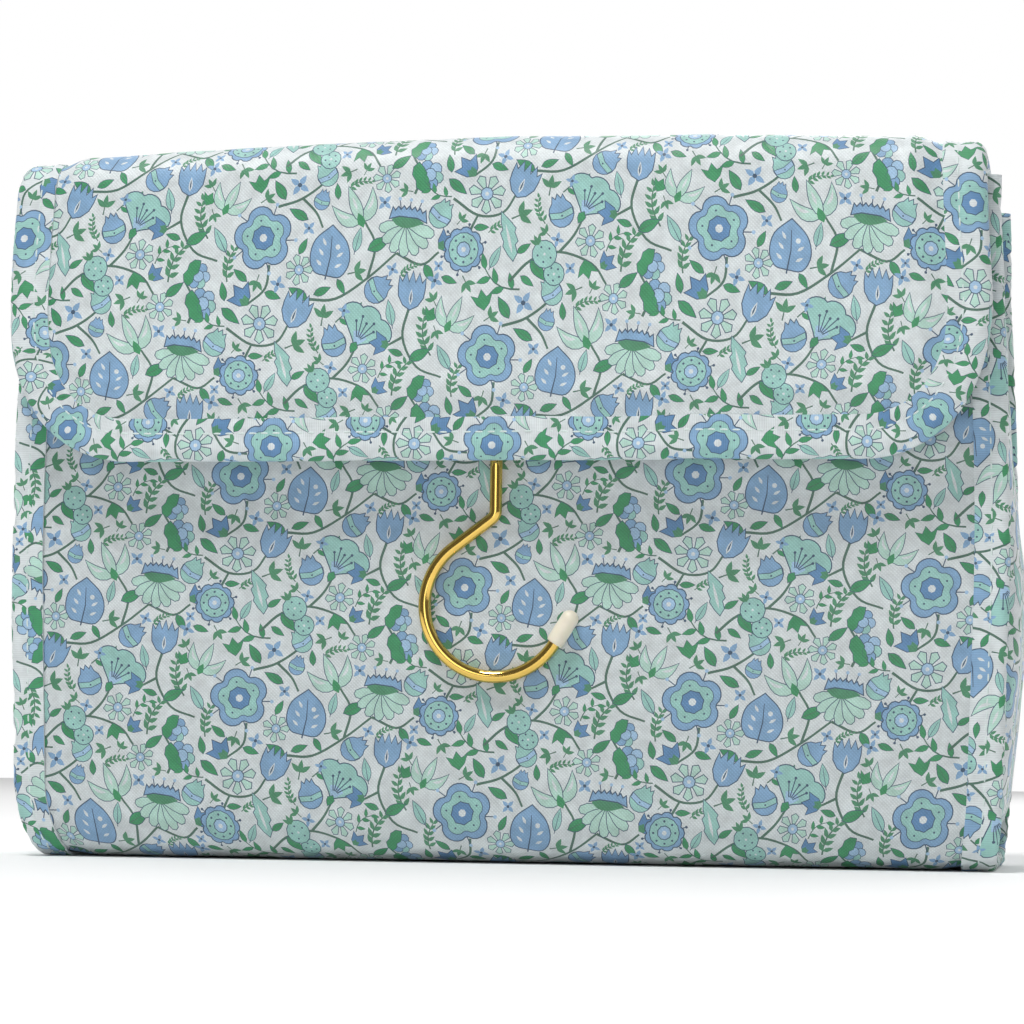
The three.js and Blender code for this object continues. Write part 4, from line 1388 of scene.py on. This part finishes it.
def make_strap():
    """The loop of webbing through the hook's eye, sewn to the flap's inner side."""
    middle = (STRAP_LOW[1] + STRAP_HIGH[1]) / 2
    radius = STRAP_HIGH[1] - middle
    low, high = STRAP_LOW[2] + radius, STRAP_HIGH[2] - radius
    straight, bend = high - low, pi * radius

    def surface(x, v, depth):
        turn = np.clip((v - straight) / radius, 0, pi) + np.clip((v - 2 * straight - bend) / radius, 0, pi)
        z = high - np.clip(v, 0, straight) + np.clip(v - straight - bend, 0, straight)
        reach = radius - depth - 0.12 * smooth((np.abs(x) - 2.2) / 1.2)
        return np.stack([x, middle - reach * np.cos(turn), z - reach * np.sin(turn)], 1)

    region = rectangle((STRAP_LOW[0], STRAP_HIGH[0]), (0, 2 * (straight + bend)))
    piece = lay("hook_webbing", region, surface, 0.6, None, (1.2, 0.8), (1.2, 1.2))
    finish_piece(piece, WEBBING_MATERIAL, "flap", "binding_tape", ["hook_strap"])


def round_edges(name, width):
    """Rounds the sharp edges of a hard node."""
    bevel = nodes[name].modifiers.new("edges", "BEVEL")
    bevel.width = width * MM
    bevel.segments = 3
    bevel.limit_method = "ANGLE"
    bevel.angle_limit = radians(40)


# ---- Stitching and wire ----


def tube(points, radius, sides):
    """A closed round bar along some points: its points and triangles, from centres and one radius or
    a radius at each."""
    points = np.asarray(points, float)
    count = len(points)
    radii = np.broadcast_to(np.asarray(radius, float), (count,))
    ahead = np.gradient(points, axis=0)
    ahead /= np.linalg.norm(ahead, axis=1)[:, None]
    up = np.cross(ahead[0], (0.3, 1.0, 0.2))
    rings = []
    for centre, direction, size in zip(points, ahead, radii):
        up = up - direction * (up @ direction)
        up /= np.linalg.norm(up)
        beside = np.cross(direction, up)
        angles = 2 * pi * np.arange(sides) / sides
        rings.append(centre + size * (np.cos(angles)[:, None] * up + np.sin(angles)[:, None] * beside))
    places = np.concatenate(rings + [points[:1], points[-1:]])
    faces = []
    for i in range(count - 1):
        for k in range(sides):
            a, b = i * sides + k, i * sides + (k + 1) % sides
            faces += [(a, b, b + sides), (a, b + sides, a + sides)]
    last = (count - 1) * sides
    for k in range(sides):
        after = (k + 1) % sides
        faces += [(count * sides, after, k), (count * sides + 1, last + k, last + after)]
    return places, np.array(faces)


def joined(name, parts):
    """One mesh of several closed parts, each given as points and triangles."""
    points, faces, count = [], [], 0
    for place, triangles in parts:
        if volume(place, triangles) < 0:
            triangles = triangles[:, ::-1]
        points.append(place)
        faces.append(triangles + count)
        count += len(place)
    mesh = mesh_from(name, np.concatenate(points), np.concatenate(faces))
    mesh.shade_smooth()
    mesh.set_sharp_from_angle(angle=radians(60))
    return link(name, mesh)


def stitches(length, place):
    """Threads along a line: place(distance, lift) is a place on it and above the cloth."""
    count = int(length / STITCH)
    pitch = length / count
    parts = []
    for i in range(count):
        start = (i + 0.5) * pitch - STITCH_LENGTH / 2
        line = [place(start + STITCH_LENGTH * t, 0.5 * sin(pi * t) - 0.35) for t in (0, 0.2, 0.5, 0.8, 1)]
        parts.append(tube(line, THREAD, 6))
    return parts


def on_surface(surface, t):
    """Makes a place function for stitches that run along a tape at a fixed distance across it."""

    def place(distance, lift):
        point = surface(np.array([distance]), np.array([t]), np.array([-lift]))[0]
        return np.maximum(point, (-np.inf, -np.inf, THREAD))

    return place


def make_stitching():
    """The thread through the bindings: on both faces of the cover, and on the shell's outer face."""
    across = COVER_LEG + COVER / 2 - STITCH_INSET
    rows = (across, COVER_TAPE - across)
    lines = []
    for t in rows:
        lines += stitches(FLAP_EDGE, on_surface(flap_tape_surface, t))
    piece = joined("flap_stitching", lines)
    finish_piece(piece, THREAD_MATERIAL, bodies_of_flap(), "binding_tape", [])
    lines = []
    for side in (-1, 1):
        for t in rows:
            lines += stitches(TOP_END, on_surface(top_tape_surface(side), t))
    piece = joined("top_stitching", lines)
    finish_piece(piece, THREAD_MATERIAL, bodies_of_top(), "binding_tape", [])
    middle = SIDE_LEG + SIDE_FOLD - SIDE_STITCH
    for name, side in (("right", 1), ("left", -1)):
        lines = stitches(BACK_END, on_surface(side_tape_surface(side), middle))
        piece = joined(f"{name}_side_stitching", lines)
        finish_piece(piece, THREAD_MATERIAL, "bag", "binding_tape", [])


def arc(x, z, radius, start, end, steps):
    """Points round part of a circle about (x, z)."""
    angles = np.linspace(start, end, steps)
    return [(x + radius * cos(a), z + radius * sin(a)) for a in angles]


def hook_line():
    """The wire's centre line in the hook's plane: down the shank, along the neck and round the bowl."""
    first = pi / 2 + NECK_SLOPE
    neck_end = np.array((BOWL_RADIUS * cos(first), BOWL_HEIGHT + BOWL_RADIUS * sin(first)))
    kink = neck_end[1] - neck_end[0] * 0.75
    turn = pi / 2 - NECK_SLOPE
    back = BEND_RADIUS * sin(turn / 2) / cos(turn / 2)
    bend = arc(-BEND_RADIUS, kink + back, BEND_RADIUS, 0, -turn, 8)
    line = [(0, EYE_HEIGHT - EYE_RADIUS + 0.5), (0, 0.5 * (EYE_HEIGHT - EYE_RADIUS + kink))] + bend
    line += [tuple(0.5 * (np.array(bend[-1]) + neck_end))]
    line += arc(0, BOWL_HEIGHT, BOWL_RADIUS, first, BOWL_END, 60)
    end = np.array(line[-1])
    ahead = np.array((-sin(BOWL_END), cos(BOWL_END)))
    return line + [tuple(end + ahead * TIP_GRIP)], end, ahead


def make_hook():
    """The wire with its eye, and the tip: a cap with a round end and a soft lip."""
    plane = (STRAP_LOW[1] + STRAP_HIGH[1]) / 2
    line, end, ahead = hook_line()
    wire = tube([(x, plane, z) for x, z in line], WIRE, 20)
    eye = [(x, plane, z) for x, z in arc(0, EYE_HEIGHT, EYE_RADIUS, -1.57, 4.7, 49)]
    piece = joined("hook_rod", [wire, tube(eye, WIRE, 16)])
    finish_piece(piece, BRASS_MATERIAL, "hook", "brass", ["hook_wire"])
    dome = TIP_LENGTH - TIP_RADIUS
    profile = [(0, 2.05), (0.12, 2.3), (0.45, 2.46), (1.0, TIP_RADIUS), (4.0, 2.55), (dome, TIP_RADIUS)]
    profile += [(dome + TIP_RADIUS * sin(a), TIP_RADIUS * cos(a)) for a in np.linspace(0.15, 1.5, 10)]
    centres = [(end[0] + ahead[0] * t, plane, end[1] + ahead[1] * t) for t, _ in profile]
    piece = joined("hook_cap", [tube(centres, [r for _, r in profile], 24)])
    finish_piece(piece, TIP_MATERIAL, "hook", "tip_plastic", ["hook_tip"])


def make_zip_coils():
    """Two coils of nylon: each turn is a short loop that lies across the tape."""
    level = (TEETH_LOW[2] + TEETH_HIGH[2]) / 2
    for name, side in (("front", -1), ("back", 1)):
        parts = []
        count = int((TEETH_HIGH[0] - TEETH_LOW[0]) / COIL_PITCH)
        for i in range(count):
            x = TEETH_LOW[0] + (i + 0.5 + 0.22 * side) * COIL_PITCH
            loop = [(COIL_FAR, -0.5), (COIL_FAR + 0.05, 0.35), (COIL_MIDDLE, 0.55)]
            loop += [(COIL_NEAR, 0.4), (COIL_NEAR - 0.05, -0.4), (COIL_MIDDLE, -0.55)]
            line = [(x, SHELL_MIDDLE + side * across, level + rise) for across, rise in loop]
            parts.append(tube(line, COIL_WIRE, 6))
        piece = joined(f"{name}_coil", parts)
        finish_piece(piece, COIL_MATERIAL, "bag", "zip_teeth", [f"{name}_zip_teeth"])


# ---- Materials ----


class Finish:
    """A material and a few shorthands for its nodes."""

    def __init__(self, name, **values):
        self.material = bpy.data.materials.new(name)
        self.material.use_nodes = True
        self.tree = self.material.node_tree
        self.shader = self.tree.nodes["Principled BSDF"]
        for socket, value in values.items():
            self.shader.inputs[socket.replace("_", " ")].default_value = value

    def add(self, kind, values=None, **settings):
        """A node. values sets or links its inputs, by name or by number."""
        node = self.tree.nodes.new(f"ShaderNode{kind}")
        for key, value in settings.items():
            setattr(node, key, value)
        for key, value in (values or {}).items():
            self.feed(node.inputs[key], value)
        return node

    def feed(self, socket, value):
        if isinstance(value, bpy.types.NodeSocket):
            self.tree.links.new(value, socket)
        else:
            socket.default_value = value

    def set(self, socket, value):
        self.feed(self.shader.inputs[socket], value)

    def math(self, operation, a, b=0.0):
        return self.add("Math", {0: a, 1: b}, operation=operation).outputs[0]

    def places(self):
        """Places in the object's own axes, in millimetres."""
        here = self.add("TexCoord").outputs["Object"]
        return self.add("VectorMath", {0: here, "Scale": 1 / MM}, operation="SCALE").outputs[0]

    def weave_places(self):
        """Places on the flat cloth, in millimetres."""
        return self.add("UVMap", uv_map="weave").outputs["UV"]

    def noise(self, where, size, detail=2.0, rough=0.5):
        values = {"Vector": where, "Scale": 1 / size, "Detail": detail, "Roughness": rough}
        return self.add("TexNoise", values).outputs["Fac"]

    def waves(self, where, pitch, angle):
        """Parallel ridges a pitch apart, from 0 to 1, across a direction in the flat cloth."""
        turned_places = self.add("VectorRotate", {"Vector": where, "Angle": radians(angle)}).outputs[0]
        values = {"Vector": turned_places, "Scale": pi / (10 * pitch), "Distortion": 0.0}
        return self.add("TexWave", values, wave_type="BANDS", bands_direction="X").outputs["Fac"]

    def level(self, value, low, high, start=0.3, end=0.7):
        values = {"Value": value, "From Min": start, "From Max": end, "To Min": low, "To Max": high}
        return self.add("MapRange", values).outputs[0]

    def plain(self, colour):
        """One colour, given as a display colour."""
        node = self.add("RGB")
        node.outputs[0].default_value = (*linear(colour), 1)
        return node.outputs[0]

    def printed(self):
        """The colour of the print, which the mesh carries."""
        return self.add("Attribute", attribute_name="ink").outputs["Color"]

    def shaded(self, colour, factor):
        """A colour made lighter or darker by a factor."""
        values = {0: colour, "Scale": factor}
        return self.add("VectorMath", values, operation="SCALE").outputs[0]

    def bump(self, height, distance, strength=1.0, under=None):
        values = {"Height": height, "Distance": distance * MM, "Strength": strength}
        if under is not None:
            values["Normal"] = under
        return self.add("Bump", values).outputs[0]


def dress(piece, material):
    """Gives a piece its material, in the slots that it has."""
    if not piece.material_slots:
        piece.data.materials.append(material)
    for holder in piece.material_slots:
        holder.material = material


def printed_canvas_material(name, tone=1.0):
    """Coated canvas: the print's inks, washed unevenly, under a fine diagonal cross-hatch emboss. A tone
    below 1 darkens the whole colour as painted shade.
    """
    coat = {"Coat_Weight": 0.06, "Coat_Roughness": 0.35}
    finish = Finish(name, Roughness=0.46, Sheen_Weight=0.04, Sheen_Roughness=0.4, **coat)
    flat = finish.weave_places()
    ink = finish.printed()
    wash = finish.level(finish.noise(flat, 4.0, 3.0), 0.87, 1.08)
    fleck = finish.level(finish.noise(flat, 0.8, 1.0), 0.97, 1.03)
    hatch = finish.math("MULTIPLY", finish.waves(flat, 0.7, 45), finish.waves(flat, 0.7, -45))
    # Darker in the cross-hatch's grooves: painted shade.
    painted_groove_shade = finish.level(hatch, 0.90, 1.02, 0.0, 0.8)
    washed = finish.math("MULTIPLY", wash, fleck)
    # A tone below 1 is painted shade over the whole colour.
    tint = finish.math("MULTIPLY", washed, finish.math("MULTIPLY", painted_groove_shade, tone))
    finish.set("Base Color", finish.shaded(ink, tint))
    finish.set("Roughness", finish.level(finish.noise(flat, 3.0), 0.36, 0.5))
    soft = finish.bump(finish.noise(finish.places(), 9.0, 2.0), 0.35, 0.5)
    finish.set("Normal", finish.bump(hatch, 0.08, 0.9, soft))
    return finish.material


def binding_tape_material():
    """Tape of the printed cloth, with a fine rib that runs across it."""
    finish = Finish("binding_tape", Roughness=0.6, Sheen_Weight=0.05, Sheen_Roughness=0.4)
    flat = finish.weave_places()
    ink = finish.printed()
    wash = finish.level(finish.noise(flat, 4.0, 3.0), 0.88, 1.06)
    rib = finish.waves(flat, 0.62, 0)
    cross = finish.waves(flat, 0.9, 90)
    # Darker between the ribs: painted shade.
    painted_rib_shade = finish.level(rib, 0.93, 1.02, 0.0, 1.0)
    finish.set("Base Color", finish.shaded(ink, finish.math("MULTIPLY", wash, painted_rib_shade)))
    height = finish.math("ADD", rib, finish.math("MULTIPLY", cross, 0.35))
    finish.set("Normal", finish.bump(height, 0.07, 0.8))
    return finish.material


def woven_material(name, colour, pitch, roughness, depth=0.06, sheen=0.15):
    """Plain woven cloth of one colour, with its threads along the object's own axes."""
    finish = Finish(name, Roughness=roughness, Sheen_Weight=sheen, Sheen_Roughness=0.4)
    where = finish.places()
    warp = finish.waves(where, pitch, 0)
    upright = finish.add("VectorRotate", {"Vector": where, "Angle": pi / 2}, rotation_type="Y_AXIS")
    weft = finish.waves(upright.outputs[0], pitch, 0)
    mesh = finish.math("MAXIMUM", warp, weft)
    wash = finish.level(finish.noise(where, 6.0, 2.0), 0.93, 1.05)
    # Darker between the threads, as painted shade, and washed unevenly at random.
    tone = finish.math("MULTIPLY", finish.level(mesh, 0.86, 1.02, 0.0, 1.0), wash)
    finish.set("Base Color", finish.shaded(finish.plain(colour), tone))
    finish.set("Normal", finish.bump(mesh, depth, 0.7))
    return finish.material


def foam_material():
    """Closed-cell foam: small round cells."""
    finish = Finish("foam", Roughness=0.85)
    where = finish.places()
    cells = finish.add("TexVoronoi", {"Vector": where, "Scale": 1.6}).outputs["Distance"]
    tone = finish.level(cells, 1.02, 0.9, 0.0, 0.9)
    finish.set("Base Color", finish.shaded(finish.plain((0.91, 0.91, 0.89)), tone))
    finish.set("Normal", finish.bump(cells, 0.15, 0.6))
    return finish.material


def plastic_material(name, colour, roughness, subsurface=0.0):
    """Moulded plastic: a slight unevenness of tone, gloss and surface."""
    finish = Finish(name, Roughness=roughness, Subsurface_Weight=subsurface, Subsurface_Scale=0.001)
    where = finish.places()
    cloud = finish.noise(where, 2.5, 3.0)
    finish.set("Base Color", finish.shaded(finish.plain(colour), finish.level(cloud, 0.95, 1.03)))
    finish.set("Roughness", finish.level(finish.noise(where, 0.6), roughness - 0.06, roughness + 0.08))
    finish.set("Normal", finish.bump(finish.noise(where, 0.35, 2.0), 0.02, 0.5))
    return finish.material


def metal_material(name, colour, roughness, scratch=0.05):
    """Polished plate with faint wear and hairlines."""
    finish = Finish(name, Metallic=1.0, Roughness=roughness)
    where = finish.places()
    worn = finish.noise(where, 3.0, 4.0, 0.6)
    finish.set("Base Color", finish.shaded(finish.plain(colour), finish.level(worn, 0.93, 1.04)))
    finish.set("Roughness", finish.level(worn, roughness - 0.4 * scratch, roughness + scratch))
    finish.set("Normal", finish.bump(finish.noise(where, 0.5, 3.0), 0.012, 0.4))
    return finish.material


def thread_material():
    """Twisted polyester thread."""
    finish = Finish("thread", Roughness=0.5, Sheen_Weight=0.2)
    where = finish.places()
    twist = finish.waves(where, 0.35, 35)
    # Darker in the twist's grooves: painted shade.
    tone = finish.level(twist, 0.88, 1.0, 0.0, 1.0)
    finish.set("Base Color", finish.shaded(finish.plain((0.88, 0.93, 0.92)), tone))
    finish.set("Normal", finish.bump(twist, 0.05, 0.6))
    return finish.material


CANVAS_MATERIAL = printed_canvas_material("printed_canvas")
# A copy of the canvas drawn 0.92 as bright, for front, base and back: painted shade for the front's shade
# under the flap.
SHADED_SHELL_CANVAS_MATERIAL = printed_canvas_material("shell_canvas_painted_shade", 0.92)
TAPE_MATERIAL = binding_tape_material()
LINING_MATERIAL = woven_material("lining_cloth", (0.56, 0.72, 0.77), 0.45, 0.5)
ZIP_TAPE_MATERIAL = woven_material("zip_tape", (0.9, 0.91, 0.91), 0.5, 0.7)
WEBBING_MATERIAL = woven_material("webbing", (0.80, 0.86, 0.88), 0.8, 0.7, 0.15)
FOAM_MATERIAL = foam_material()
BOARD_MATERIAL = plastic_material("board", (0.85, 0.85, 0.83), 0.6)
COIL_MATERIAL = plastic_material("zip_coil", (0.94, 0.95, 0.94), 0.3, 0.1)
TIP_MATERIAL = plastic_material("tip_plastic", (0.945, 0.918, 0.839), 0.38, 0.15)
BRASS_MATERIAL = metal_material("brass", (0.93, 0.78, 0.41), 0.08)
MAGNET_MATERIAL = metal_material("magnet", (0.62, 0.63, 0.64), 0.32, 0.1)
THREAD_MATERIAL = thread_material()

# The nodes that keep their own shape, by material, and how far the edges of some are rounded.
CARRIED_OVER = (
    (FOAM_MATERIAL, ("front_foam", "back_foam")),
    (BOARD_MATERIAL, ("base_board",)),
    (MAGNET_MATERIAL, ("front_magnet_left", "front_magnet_right", "flap_magnet_left", "flap_magnet_right")),
    (BRASS_MATERIAL, ("zip_stop_left", "zip_stop_right", "zip_slider", "zip_puller")),
)
ROUNDED = {"zip_slider": 0.3, "zip_puller": 0.3, "zip_stop_left": 0.4, "zip_stop_right": 0.4}


# ---- Camera, floor and light ----


CAMERA_PLACE = (173, -948, 34.6)
CAMERA_TILT = 3.9  # up from level
CAMERA_TURN = 10.42  # to the left from straight back
CAMERA_ROLL = 0.63
FOCAL_LENGTH = 117.4
SENSOR = 36

# In metres: each light's name, place, width and power, and what they all face.
LIGHTS = (
    ("key", (-0.2, -0.52, 1.25), 0.35, 10.8),
    ("fill", (0.1, -1.2, 0.35), 0.7, 2.2),
    ("back", (0.2, 1.1, 0.8), 0.8, 4.0),
)
LIT_PLACE = (0, -0.03, 0.1)
FLOOR_REACH = 1.6
FLOOR_DROP = 0.0001  # below the bag

# The sky's strength, by direction along Y: dark in front of the bag and bright behind it.
SKY = {"From Min": -0.4, "From Max": 0.6, "To Min": 0.13, "To Max": 1.0}


def make_camera():
    """Near the floor, a little to the right of the bag's middle, turned and tilted up to it."""
    lens = bpy.data.cameras.new("camera")
    lens.lens = FOCAL_LENGTH
    lens.sensor_width = SENSOR
    camera = bpy.data.objects.new("camera", lens)
    camera.location = Vector(CAMERA_PLACE) * MM
    tilt = Euler((radians(90 + CAMERA_TILT), 0, radians(CAMERA_TURN)), "XYZ").to_matrix()
    roll = Euler((0, 0, radians(CAMERA_ROLL)), "XYZ").to_matrix()
    camera.rotation_euler = (tilt @ roll).to_euler()
    bpy.context.scene.collection.objects.link(camera)
    bpy.context.scene.camera = camera


def area_light(name, place, size, power):
    """A round light of an even white that faces the bag."""
    light = bpy.data.lights.new(name, "AREA")
    light.shape = "DISK"
    light.size = size
    light.energy = power
    holder = bpy.data.objects.new(name, light)
    holder.location = place
    holder.rotation_euler = (Vector(LIT_PLACE) - Vector(place)).to_track_quat("-Z", "Y").to_euler()
    bpy.context.scene.collection.objects.link(holder)


def make_floor():
    mesh = bpy.data.meshes.new("floor")
    signs = ((-1, -1), (1, -1), (1, 1), (-1, 1))
    corners = [(x * FLOOR_REACH, y * FLOOR_REACH, -FLOOR_DROP) for x, y in signs]
    mesh.from_pydata(corners, [], [(0, 1, 2, 3)])
    floor = link("floor", mesh)
    finish = Finish("floor", Roughness=0.9, Base_Color=(0.95, 0.95, 0.95, 1))
    dress(floor, finish.material)


def make_world():
    world = bpy.data.worlds.new("world")
    world.use_nodes = True
    tree = world.node_tree
    sky = tree.nodes["Background"]
    direction = tree.nodes.new("ShaderNodeTexCoord").outputs["Generated"]
    parts = tree.nodes.new("ShaderNodeSeparateXYZ")
    tree.links.new(direction, parts.inputs[0])
    share = tree.nodes.new("ShaderNodeMapRange")
    tree.links.new(parts.outputs["Y"], share.inputs["Value"])
    for socket, value in SKY.items():
        share.inputs[socket].default_value = value
    tree.links.new(share.outputs[0], sky.inputs["Strength"])
    sky.inputs["Color"].default_value = (1.0, 1.0, 1.0, 1)
    bpy.context.scene.world = world


def make_stage():
    make_floor()
    make_world()
    bpy.context.scene.view_settings.view_transform = "Standard"
    for light in LIGHTS:
        area_light(*light)


# ---- The object ----


def main():
    make_camera()
    make_stage()
    make_shell()
    make_side_bindings()
    make_gussets()
    make_cover()
    make_cover_bindings()
    make_zip_strips()
    make_zip_coils()
    make_zip_tapes()
    make_lining()
    make_pocket()
    make_strap()
    for name, width in ROUNDED.items():
        round_edges(name, width)
    make_stitching()
    make_hook()
    for material, names in CARRIED_OVER:
        for name in names:
            dress(nodes[name], material)
    bpy.context.view_layer.update()


main()
